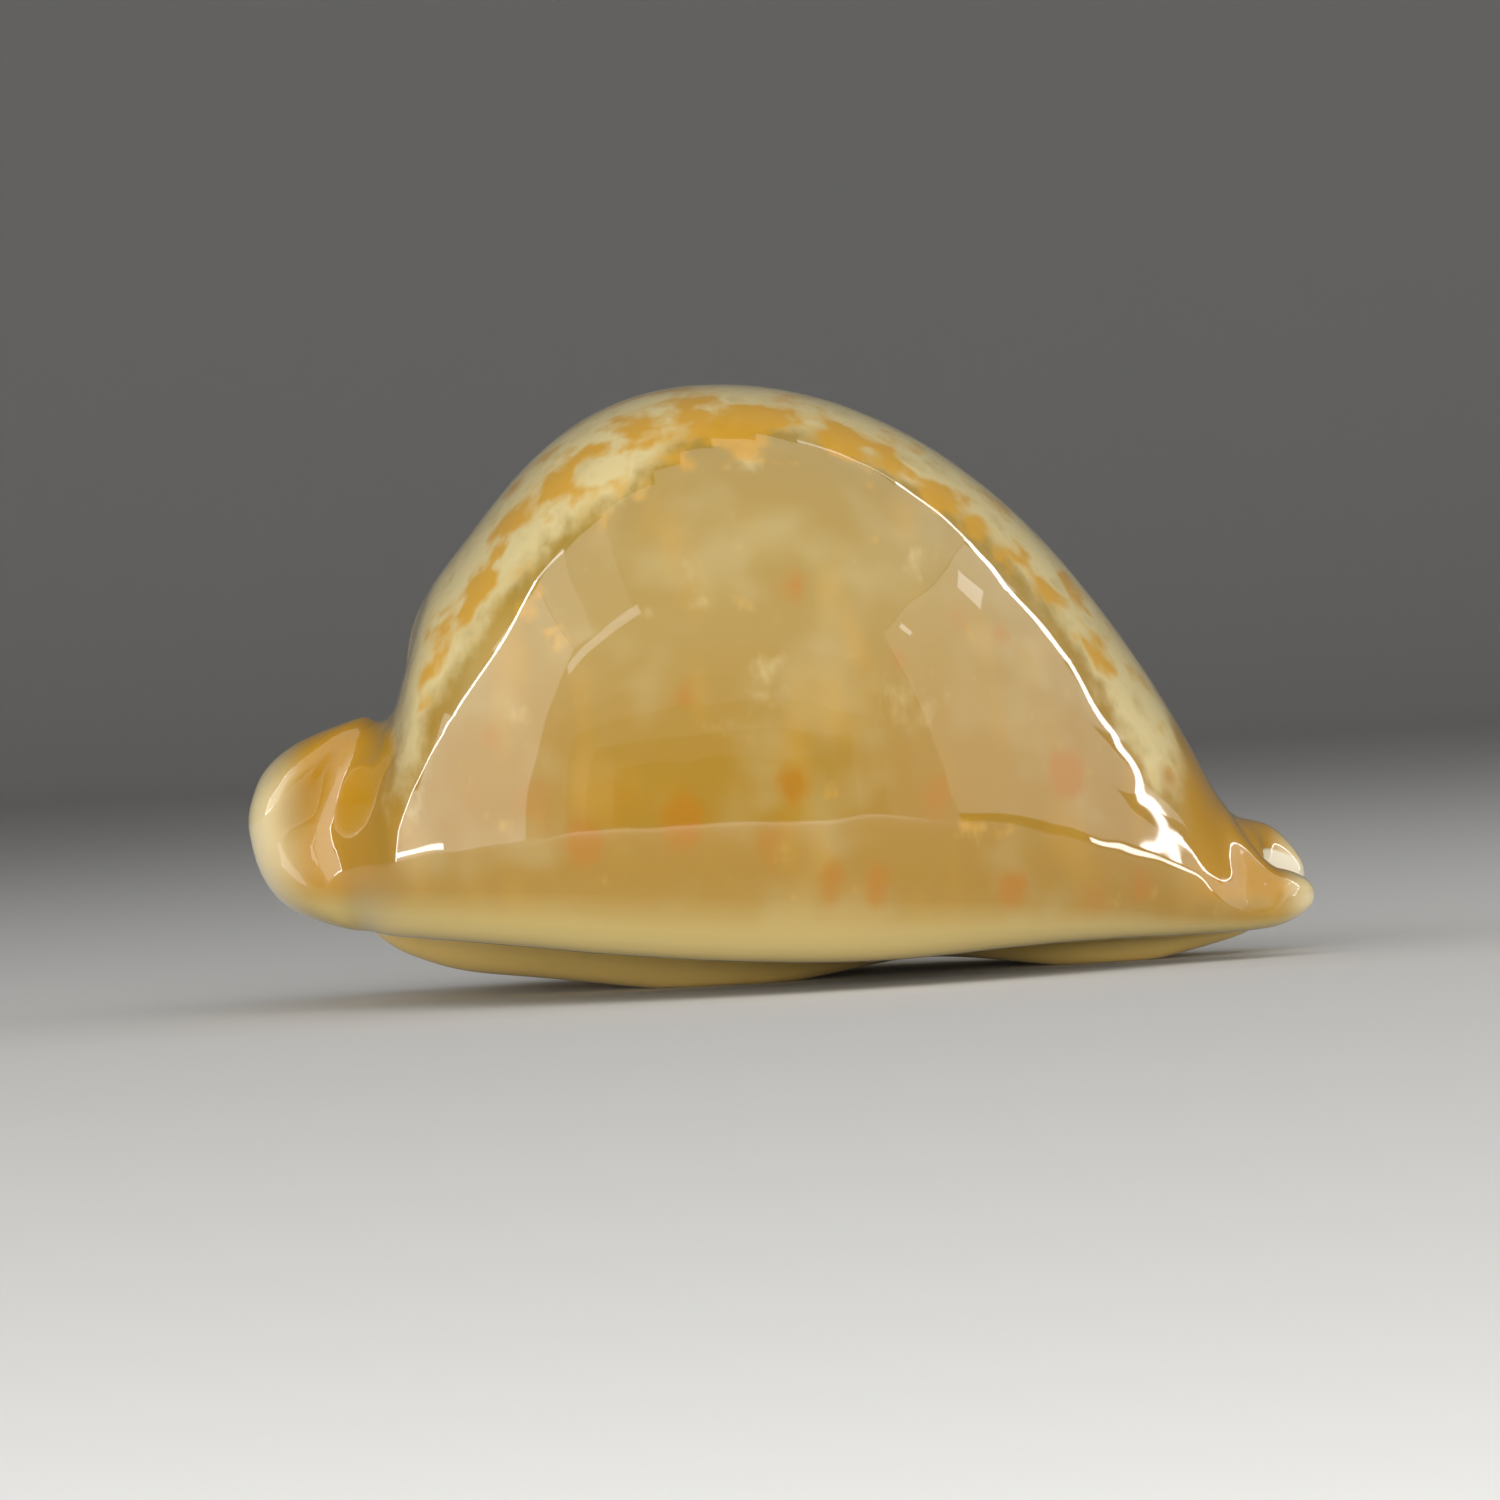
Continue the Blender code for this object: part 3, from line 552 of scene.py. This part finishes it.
MILKY = [
    (-1.1, -18.9, 44.3, 1.5, 1.0), (-5.5, -9.9, 50.1, 2.2, 0.7), (-9.8, -7.7, 50.3, 1.2, 1.0),
    (-13.5, -12.7, 47.1, 1.2, 0.8), (-16.9, -12.3, 45.4, 1.2, 0.8), (-21.6, -16.7, 38.3, 0.9, 0.9),
    (-12.4, -17.3, 44.5, 1.2, 0.6), (12.5, -13.8, 43.0, 1.0, 0.6), (-0.3, -28.3, 27.1, 2.6, 0.8),
    (11.2, -26.7, 23.6, 2.3, 0.7), (-6.2, -25.6, 35.0, 1.2, 0.5), (-5.5, -26.6, 32.9, 1.4, 0.6),
    (13.2, -20.8, 35.7, 1.7, 0.6), (5.5, -25.5, 33.1, 1.2, 0.5), (-9.6, -26.1, 33.1, 1.6, 0.3),
    (23.6, -9.9, 34.8, 0.9, 0.7), (20.6, -6.2, 39.7, 1.4, 0.8), (30.0, -9.0, 25.8, 1.0, 0.6),
    (32.5, -8.1, 22.2, 1.2, 0.7), (33.6, -8.8, 19.6, 1.0, 0.6), (-24.1, -11.9, 38.7, 1.0, 0.6),
    (-26.4, -12.1, 35.8, 1.0, 0.8), (-28.2, -14.0, 32.5, 0.9, 0.6), (-22.7, -24.4, 25.4, 1.9, 0.4),
    (-30.0, -21.4, 18.2, 1.7, 0.3), (-14.2, -27.7, 25.0, 2.2, 0.3),
]
# On the far side the same kinds are strewn: (count, least and most height, radius, seed)
STREWN_SPOTS = (26, 8, 34, 1.2, 3)
STREWN_BLOTCHES = (30, 28, 50, 1.9, 5)
STREWN_MILKY = (22, 24, 50, 1.6, 8)
# They keep this many stations off the tips and rows off the lips
STREWN_TIPS, STREWN_LIPS = 20, 10
# Every marking is longer up and down than along the shell
MARKING_SQUEEZE = 0.78


def strewn(points, kind):
    """Markings on the far side, on the shell's own points, picked with a fixed seed."""
    count, low, high, radius, seed = kind
    pick = random.Random(seed)
    rows = slice(STREWN_LIPS, ROWS - STREWN_LIPS)
    outside = points[STREWN_TIPS:-STREWN_TIPS, rows].reshape(-1, 3)
    far = outside[(outside[:, 1] > 1) & (outside[:, 2] > low) & (outside[:, 2] < high)]
    marks = []
    for _ in range(count):
        x, y, z = far[pick.randrange(len(far))]
        marks.append((x, y, z, radius * pick.uniform(0.7, 1.4), pick.uniform(0.4, 1.0)))
    return marks


def marked(points, marks):
    """How strongly the markings show at each point, 0 to 1. They are a little taller than wide."""
    field = np.zeros(points.shape[:2])
    for x, y, z, radius, strength in marks:
        near = np.abs(points[..., 0] - x) < 3 * radius
        away = points[near] - (x, y, z)
        away[:, 1:] *= MARKING_SQUEEZE
        shown = strength * bell(np.linalg.norm(away, axis=1) / radius)
        field[near] = np.maximum(field[near], shown)
    return field


# Zones of colour. A pair is (where the zone is absent, where it is full), in millimetres or in
# shares of the way round from the outer lip to the inner lip.
LABRAL_MARGIN = (0.138, 0.116)
# The posterior lobe's low corner takes the margin's cream, partly its own pale rim and partly painted
# fill light on its shaded, down-facing side
LOW_LOBE_X, LOW_LOBE_Z = (-33, -38), (11, 6)
COLUMELLAR_BASE = (0.83, 0.88)
BACK_HALF_WIDTH, BACK_EDGE = 17.2, 5.0
BACK_WIDER, BACK_WIDER_X = 5.5, (-2, -14)
BACK_Z, BACK_TAIL_X, BACK_NOSE_X = (10, 18), (-35, -30), (38, 32)
TROUGH_X, TROUGH_REACH, TROUGH_LOW_Z, TROUGH_HIGH_Z = -37.5, 4.6, (8, 12), (28, 23)
NOSE_X, NOSE_TIP_X, NOSE_Z = (32, 38), (45.2, 42.7), (4, 6.5)
# A band of golden flecks on either side of the ridge, by its distance from it in shares
RIDGE_SHARE, BAND_AWAY, BAND_REACH = 0.48, 0.10, 0.045
BAND_TAIL_X, BAND_NOSE_X = (-34, -26), (36, 28)
HIGH_Z = (16, 36)
# The pale rim at each tip, reaching further at the posterior tip: partly the rim's own cream, partly
# painted fill light on the lobe's shaded side
RIM_WIDTH, POSTERIOR_RIM_AND_FILL_STRETCH = 3.5, 0.6
MILKY_ON_FLANK = 0.35


def share_round(points):
    """Each grid point's share of the way round, the same for outside and inside."""
    round_once = np.linspace(0, 1, ROWS)
    lips = np.ones(LIP_ROWS), np.zeros(LIP_ROWS)
    row = np.concatenate([round_once, lips[0], round_once[::-1], lips[1]])
    return np.broadcast_to(row, points.shape[:2])


def fields(points):
    """Named values for each grid point, which the material turns into colour."""
    x, y, z = np.moveaxis(points, -1, 0)
    share = share_round(points)
    row = np.arange(points.shape[1])
    inner = (row >= ROWS + LIP_ROWS) & (row < 2 * ROWS + LIP_ROWS)
    inside = np.broadcast_to(inner.astype(float), share.shape).copy()
    from_rim = np.minimum(POSTERIOR_RIM_AND_FILL_STRETCH * (x - x.min()), x.max() - x)
    low_lobe_painted_fill = rising(x, *LOW_LOBE_X) * rising(z, *LOW_LOBE_Z)
    half_width = BACK_HALF_WIDTH + BACK_WIDER * rising(x, *BACK_WIDER_X)
    back = ease((half_width - np.abs(y)) / BACK_EDGE)
    dorsum = back * rising(z, *BACK_Z) * rising(x, *BACK_TAIL_X) * rising(x, *BACK_NOSE_X)
    posterior = bell((x - TROUGH_X) / TROUGH_REACH)
    posterior = posterior * rising(z, *TROUGH_LOW_Z) * rising(z, *TROUGH_HIGH_Z)
    anterior = rising(x, *NOSE_X) * rising(x, *NOSE_TIP_X) * rising(z, *NOSE_Z)
    band = bell((np.abs(share - RIDGE_SHARE) - BAND_AWAY) / BAND_REACH)
    milky = marked(points, MILKY + strewn(points, STREWN_MILKY))
    return {
        "spots": marked(points, SPOTS + strewn(points, STREWN_SPOTS)),
        "blotches": marked(points, BLOTCHES + strewn(points, STREWN_BLOTCHES)),
        "milky": milky * (MILKY_ON_FLANK + (1 - MILKY_ON_FLANK) * dorsum),
        # The outer lip's margin, and the posterior lobe's low corner, where the cream is partly
        # painted fill light
        "margin": np.maximum(rising(share, *LABRAL_MARGIN), low_lobe_painted_fill),
        # The inner lip's base, whose colour is partly painted fill light for the shade under the
        # shell
        "base": rising(share, *COLUMELLAR_BASE),
        "dorsum": dorsum,
        "high": rising(z, *HIGH_Z),
        "band": band * rising(x, *BAND_TAIL_X) * rising(x, *BAND_NOSE_X),
        "ends": np.maximum(posterior, anterior) * (1 - inside),
        "inside": inside,
        # The pale rims at the tips, partly painted fill light on their shaded faces
        "rim": 1 - ease(from_rim / RIM_WIDTH),
    }


def finely_skinned(name, points, values):
    """The closed mesh, with each field as a named attribute of its vertices."""
    flat = np.concatenate([points, *[v[..., None] for v in values.values()]], -1)
    mesh, used = skin(name, points)
    for i, key in enumerate(values):
        layer = mesh.attributes.new(key, "FLOAT", "POINT")
        layer.data.foreach_set("value", flat[..., 3 + i].reshape(-1)[used].astype(np.float32))
    return mesh


# Colours, as linear red, green and blue
APRICOT = (0.38, 0.205, 0.012, 1)
HONEY = (0.375, 0.235, 0.030, 1)
CREAM = (0.49, 0.37, 0.14, 1)
MILK = (0.76, 0.63, 0.31, 1)
GOLD = (0.64, 0.325, 0.010, 1)
ORANGE = (0.43, 0.18, 0.002, 1)
AMBER = (0.49, 0.245, 0.008, 1)
MARGIN = (0.56, 0.42, 0.14, 1)
# The base's own cream apricot, made lighter still as painted fill light for the shade under the shell
BASE_AND_PAINTED_FILL = (0.82, 0.57, 0.16, 1)
# The rims' own pale cream, made lighter still as painted fill light where the tips face away from the
# light
RIM_AND_PAINTED_FILL = (0.85, 0.70, 0.38, 1)
IVORY = (0.80, 0.70, 0.50, 1)


def node(tree, kind, *values, out=0, **settings):
    """Adds a shader node. Its inputs, in order, are linked to a socket or set to a value."""
    made = tree.nodes.new("ShaderNode" + kind)
    for name, value in settings.items():
        setattr(made, name, value)
    for socket, value in zip(made.inputs, values):
        if isinstance(value, bpy.types.NodeSocket):
            tree.links.new(value, socket)
        elif value is not None:
            socket.default_value = value
    return made.outputs[out]


def field(tree, name):
    """One of the mesh's named values."""
    return node(tree, "Attribute", out=2, attribute_name=name)


def speckle(tree, place, stretch, scale, detail=4.0, roughness=0.55):
    """Noise from 0 to 1, stretched along each axis."""
    stretched = node(tree, "VectorMath", place, stretch, operation="MULTIPLY")
    return node(tree, "TexNoise", stretched, None, scale, detail, roughness)


def step(tree, value, low, high, top=1.0):
    """0 below low, top above high, and smooth between."""
    smooth = {"interpolation_type": "SMOOTHSTEP"}
    return node(tree, "MapRange", value, low, high, 0.0, top, **smooth)


def plus(tree, a, b, weight=1.0):
    """a + weight * b."""
    return node(tree, "Math", b, weight, a, operation="MULTIPLY_ADD")


def mixed(tree, share, a, b):
    """Colour a turns to colour b as share goes from 0 to 1."""
    made = tree.nodes.new("ShaderNodeMix")
    made.data_type = "RGBA"
    for socket, value in ((0, share), (6, a), (7, b)):
        if isinstance(value, bpy.types.NodeSocket):
            tree.links.new(value, made.inputs[socket])
        else:
            made.inputs[socket].default_value = value
    return made.outputs[2]


def shell_material():
    """Glossy glaze over the ground colour, milky and golden patches, spots, and pale edges and base
    that are partly painted fill light.
    """
    material = bpy.data.materials.new("glossy apricot shell")
    material.use_nodes = True
    tree = material.node_tree
    surface = tree.nodes["Principled BSDF"]
    place = node(tree, "TexCoord", out=3)
    place = node(tree, "VectorMath", place, (1000, 1000, 1000), operation="MULTIPLY")

    clouds = speckle(tree, place, (1, 1, 1), 0.11, 2.0)
    streaks = speckle(tree, place, (1, 0.4, 0.4), 0.2, 1.0)
    patches = speckle(tree, place, (0.7, 1, 1), 0.26, 2.0, 0.5)
    grain = speckle(tree, place, (1, 0.6, 0.6), 0.7, 2.0, 0.5)
    dorsum = field(tree, "dorsum")

    # The ground: apricot below and honey above, with soft clouds and streaks
    colour = mixed(tree, field(tree, "high"), APRICOT, HONEY)
    colour = mixed(tree, step(tree, clouds, 0.45, 0.75, 0.5), colour, CREAM)
    colour = mixed(tree, step(tree, streaks, 0.5, 0.8, 0.3), colour, GOLD)

    # Milky patches, which cover most of the back
    milky = plus(tree, field(tree, "milky"), plus(tree, -0.5, grain), 0.6)
    milky = plus(tree, milky, plus(tree, -0.5, patches), 0.6)
    milky = plus(tree, milky, dorsum, 0.7)
    colour = mixed(tree, step(tree, milky, 0.1, 0.75, 0.9), colour, MILK)

    # Golden blotches on the back, with crisp edges
    golden = plus(tree, plus(tree, -0.68, patches), plus(tree, -0.5, grain), 0.4)
    golden = plus(tree, golden, dorsum, 0.12)
    golden = plus(tree, golden, field(tree, "blotches"), 0.45)
    golden = plus(tree, golden, field(tree, "band"), 0.08)
    colour = mixed(tree, step(tree, golden, -0.02, 0.26, 0.9), colour, GOLD)

    # Soft orange spots on the flank
    spotted = plus(tree, field(tree, "spots"), plus(tree, -0.5, grain), 0.5)
    colour = mixed(tree, step(tree, spotted, 0.08, 0.6, 0.95), colour, ORANGE)

    # The plain parts: margin, base, ends, rims and inside; the base, rims and low lobe corner are
    # partly painted fill light
    colour = mixed(tree, field(tree, "margin"), colour, MARGIN)
    # The base: its own cream, painted lighter as fill light in the shade under the shell
    colour = mixed(tree, field(tree, "base"), colour, BASE_AND_PAINTED_FILL)
    ends = plus(tree, field(tree, "ends"), plus(tree, -0.5, clouds), 0.6)
    colour = mixed(tree, step(tree, ends, 0.15, 0.9, 0.9), colour, AMBER)
    # The rims: their own cream, painted lighter as fill light where the tips are in shade
    colour = mixed(tree, field(tree, "rim"), colour, RIM_AND_PAINTED_FILL)
    colour = mixed(tree, field(tree, "inside"), colour, IVORY)
    tree.links.new(colour, surface.inputs["Base Color"])

    # A hard clear glaze over a softly shining ground
    surface.inputs["Roughness"].default_value = 0.3
    surface.inputs["IOR"].default_value = 1.3
    surface.inputs["Coat Weight"].default_value = 1.0
    surface.inputs["Coat Roughness"].default_value = 0.03
    surface.inputs["Coat IOR"].default_value = 1.8
    return material


# The studio: a round pale floor that sweeps up to a wall, and a light tent round the shell.
FLOOR_RADIUS, WALL_HEIGHT, SWEEP_RADIUS = 1.8, 1.5, 0.7
FLOOR_TURNS, SWEEP_STEPS, FLAT_SHARES = 96, 24, (0.1, 0.3, 0.6)
FLOOR_COLOUR = (0.62, 0.615, 0.60, 1)
# The tent's arch, in millimetres, from floor to floor over the shell, and how brightly the thin
# lamp glows from each point to the next
ARCH = [
    (-550, 60, 0), (-550, 40, 140), (-550, -60, 280), (-550, -60, 400), (-550, 10, 550),
    (-420, -40, 550), (-270, -60, 550), (-120, -10, 550), (0, 130, 550), (150, 225, 550),
    (350, 275, 550), (550, 285, 550), (550, 200, 420), (550, 170, 290), (550, 110, 200),
    (550, 20, 120), (550, -60, 20),
]
ARCH_RADIANCE = (7, 7, 8, 9, 3, 0, 0, 0, 0, 1.5, 5, 7, 7, 8, 9, 9)
# How wide the lamp is on each stretch
ARCH_WIDTH = (8, 9, 12, 14, 12, 9, 9, 9, 9, 9, 16, 28, 25, 16, 9, 5)
# The cloth over each stretch is made of this many strips
CLOTH_STRIPS = (1, 1, 1, 1, 1, 1, 1, 2, 2, 1, 1, 1, 1, 1, 1, 1)
# Low lamps along both walls, each from one end to the other
LOW_LAMPS = [
    ((-550, 60, 6), (-550, -200, 6)), ((550, -60, 6), (550, -140, 6)),
]
LOW_LAMP_HEIGHT, LOW_LAMP_RADIANCE = 9.0, 7.0
# The tent's cloth glows dimly from the arch to its front. How brightly, over each stretch
CLOTH_RADIANCE = (1.2, 1.2, 1.2, 1.2, 1.0, 0.7, 0.5, 0.5, 0.5, 0.5, 0.6, 0.9, 0.8, 0.8, 0.8, 0.8)
# The tent's front plane, and how far the cloth hangs outside the lamps
TENT_FRONT, CLOTH_GAP = -560.0, 1.0
# The front glows more and more from its opening outward: (left, right, top) of each step, and
# the radiance inside it
FRONT_STEPS = [
    (-230, 170, 100, 0.0), (-300, 240, 150, 0.12), (-385, 330, 205, 0.26), (-470, 440, 270, 0.4),
    (-551, 551, 350, 0.48), (-551, 551, 551, 0.55),
]
# Folds in the cloth and panes that glint, each from one end to the other: width, radiance
GLINTS = [
    ((-250, -555, 545), (-500, -555, 430), 40, 1.2), ((549, -40, 490), (549, 60, 520), 60, 1.6),
    ((549, -460, 520), (549, -430, 525), 32, 2.0),
]
# The faint light from all round
AMBIENT_COLOUR, AMBIENT = (1, 0.99, 0.97, 1), 0.10
# A broad soft lamp under the camera fills the shade below the shell, and leaves no reflection
FILL = ((-450, -650, 30), (900, 0, 0), (0, 0, 130))
FILL_RADIANCE = 6.5
# What every lamp faces
SHELL_MIDDLE = Vector((0, 0, 20))


def lamp(name, corner, first, second, radiance):
    """A glowing rectangle from one corner and two edges, lit on the side that faces the shell."""
    first, second = Vector(first), Vector(second)
    across = first.normalized()
    up = second - second.dot(across) * across
    middle = Vector(corner) + (first + up) / 2
    height, up = up.length, up.normalized()
    away = across.cross(up)
    if away.dot(middle - SHELL_MIDDLE) < 0:
        up, away = -up, -away
    light = bpy.data.lights.new(name, "AREA")
    light.shape = "RECTANGLE"
    light.size, light.size_y = first.length * MM, height * MM
    light.energy = radiance * 4 * light.size * light.size_y
    obj = bpy.data.objects.new(name, light)
    turn = Matrix((across, up, away)).transposed().to_4x4()
    obj.matrix_world = Matrix.Translation(middle * MM) @ turn
    bpy.context.scene.collection.objects.link(obj)
    return obj


def light_tent():
    """The dim cloth and the thin bright lamps that the gloss of the shell mirrors."""
    for i, (inner, outer) in enumerate(zip(FRONT_STEPS, FRONT_STEPS[1:])):
        left, right, top, radiance = outer
        over = (left, right, inner[2], top)
        panels = [(left, inner[0], 0, inner[2]), (inner[1], right, 0, inner[2]), over]
        for j, (start, end, low, high) in enumerate(panels):
            if end > start:
                size = (end - start, 0, 0), (0, 0, high - low)
                lamp(f"front {i}.{j}", (start, TENT_FRONT, low), *size, radiance)
    for i, (start, end) in enumerate(zip(ARCH, ARCH[1:])):
        start, end = Vector(start), Vector(end)
        strips = CLOTH_STRIPS[i]
        behind = Vector((math.copysign(CLOTH_GAP, end.x), 0, 0))
        if start.z == end.z:
            behind = Vector((0, 0, CLOTH_GAP))
        along = (end - start) / strips
        for j in range(strips):
            near = start + along * j
            corner = Vector((near.x + behind.x, TENT_FRONT, near.z + behind.z))
            reach = (0, near.y + along.y / 2 - TENT_FRONT, 0)
            lamp(f"cloth {i}.{j}", corner, (along.x, 0, along.z), reach, CLOTH_RADIANCE[i])
        if ARCH_RADIANCE[i] == 0:
            continue
        facing = (SHELL_MIDDLE - (start + end) / 2).cross(end - start).normalized()
        width = ARCH_WIDTH[i]
        lamp(f"arch {i}", start - facing * width / 2, end - start, facing * width, ARCH_RADIANCE[i])
    for i, (start, end, width, radiance) in enumerate(GLINTS):
        length = Vector(end) - Vector(start)
        facing = (SHELL_MIDDLE - Vector(start)).cross(length).normalized()
        lamp(f"glint {i}", start, length, facing * width, radiance)
    for i, (start, end) in enumerate(LOW_LAMPS):
        length = Vector(end) - Vector(start)
        lamp(f"low {i}", start, length, (0, 0, LOW_LAMP_HEIGHT), LOW_LAMP_RADIANCE)
    lamp("fill", *FILL, FILL_RADIANCE).visible_glossy = False
    world = bpy.data.worlds.new("studio")
    world.use_nodes = True
    world.node_tree.nodes["Background"].inputs[0].default_value = AMBIENT_COLOUR
    world.node_tree.nodes["Background"].inputs[1].default_value = AMBIENT
    bpy.context.scene.world = world


def studio_floor():
    """A disc with a rounded sweep up to a wall all the way round."""
    flat = FLOOR_RADIUS - SWEEP_RADIUS
    profile = [(share * flat, 0.0) for share in FLAT_SHARES]
    for angle in np.linspace(0, math.pi / 2, SWEEP_STEPS):
        rise = SWEEP_RADIUS * (1 - math.cos(angle))
        profile.append((flat + SWEEP_RADIUS * math.sin(angle), rise))
    profile.append((FLOOR_RADIUS, WALL_HEIGHT))
    turns = FLOOR_TURNS
    corners = [
        (r * math.cos(2 * math.pi * t / turns), r * math.sin(2 * math.pi * t / turns), z)
        for r, z in profile
        for t in range(turns)
    ]
    faces = [[t, (t + 1) % turns, turns * len(profile)] for t in range(turns)]
    for i in range(len(profile) - 1):
        for t in range(turns):
            n = (t + 1) % turns
            faces.append([i * turns + n, i * turns + t, (i + 1) * turns + t, (i + 1) * turns + n])
    mesh = bpy.data.meshes.new("studio floor")
    mesh.from_pydata(corners + [(0, 0, 0)], [], faces)
    mesh.shade_smooth()
    material = bpy.data.materials.new("pale paper")
    material.use_nodes = True
    surface = material.node_tree.nodes["Principled BSDF"]
    surface.inputs["Base Color"].default_value = FLOOR_COLOUR
    surface.inputs["Roughness"].default_value = 0.9
    surface.inputs["Specular IOR Level"].default_value = 0.2
    mesh.materials.append(material)
    floor = bpy.data.objects.new("studio_floor", mesh)
    bpy.context.scene.collection.objects.link(floor)


# The camera looks at the outer lip's side. It is rolled by the rest pitch, so that the shell
# stands in the picture with both tips level, as it was held.
CAMERA_DISTANCE = 700.0
CAMERA_ELEVATION = math.radians(0.9)
AIM_HEIGHT = 20.0
AIM_OFFSET = (-3.32, 0.10)
PICTURE_WIDTH = 1500 / 11.458


def held(across, away, up):
    """From the camera's level axes, in millimetres, to the frame."""
    level = up * math.cos(CAMERA_ELEVATION) - away * math.sin(CAMERA_ELEVATION)
    depth = away * math.cos(CAMERA_ELEVATION) + up * math.sin(CAMERA_ELEVATION)
    sine, cosine = math.sin(REST_PITCH), math.cos(REST_PITCH)
    return Vector((across * cosine + level * sine, depth, level * cosine - across * sine))


def make_camera():
    """The camera at the picture's angle and distance."""
    data = bpy.data.cameras.new("camera")
    data.sensor_width = 36.0
    data.lens = 36.0 * CAMERA_DISTANCE / PICTURE_WIDTH
    data.clip_start, data.clip_end = 0.05, 20
    camera = bpy.data.objects.new("camera", data)
    aim = held(0, 0, 0)
    axes = [held(*axis) - aim for axis in ((1, 0, 0), (0, 0, 1), (0, -1, 0))]
    origin = held(AIM_OFFSET[0], -CAMERA_DISTANCE, AIM_OFFSET[1])
    origin += Vector((math.sin(REST_PITCH), 0, math.cos(REST_PITCH))) * AIM_HEIGHT
    turn = Matrix(axes).transposed().to_4x4()
    camera.matrix_world = Matrix.Translation(origin * MM) @ turn
    bpy.context.scene.collection.objects.link(camera)
    bpy.context.scene.camera = camera


def fine_shell(low, high):
    """The shell, drawn finely inside the box of the plain one, with its markings and glaze."""
    points = fitted(rest(shell_points()), low, high)
    values = fields(points)
    points = fitted(uneven(points), low, high)
    shell = bpy.data.objects.new("cowry_shell", finely_skinned("cowry_shell", points, values))
    shell.data.materials.append(shell_material())
    shell.data.shade_smooth()
    bpy.context.scene.collection.objects.link(shell)
    return shell


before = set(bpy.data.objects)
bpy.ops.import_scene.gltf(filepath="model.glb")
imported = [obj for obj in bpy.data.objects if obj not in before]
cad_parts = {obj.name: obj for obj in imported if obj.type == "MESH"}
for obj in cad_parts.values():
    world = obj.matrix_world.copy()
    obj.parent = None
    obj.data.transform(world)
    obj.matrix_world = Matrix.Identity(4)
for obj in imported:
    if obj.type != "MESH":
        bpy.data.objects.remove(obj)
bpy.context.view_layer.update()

shell = fine_shell(*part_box("shell"))
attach(shell, "root")
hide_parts("shell")

studio_floor()
light_tent()
make_camera()
bpy.context.scene.view_settings.view_transform = "Standard"
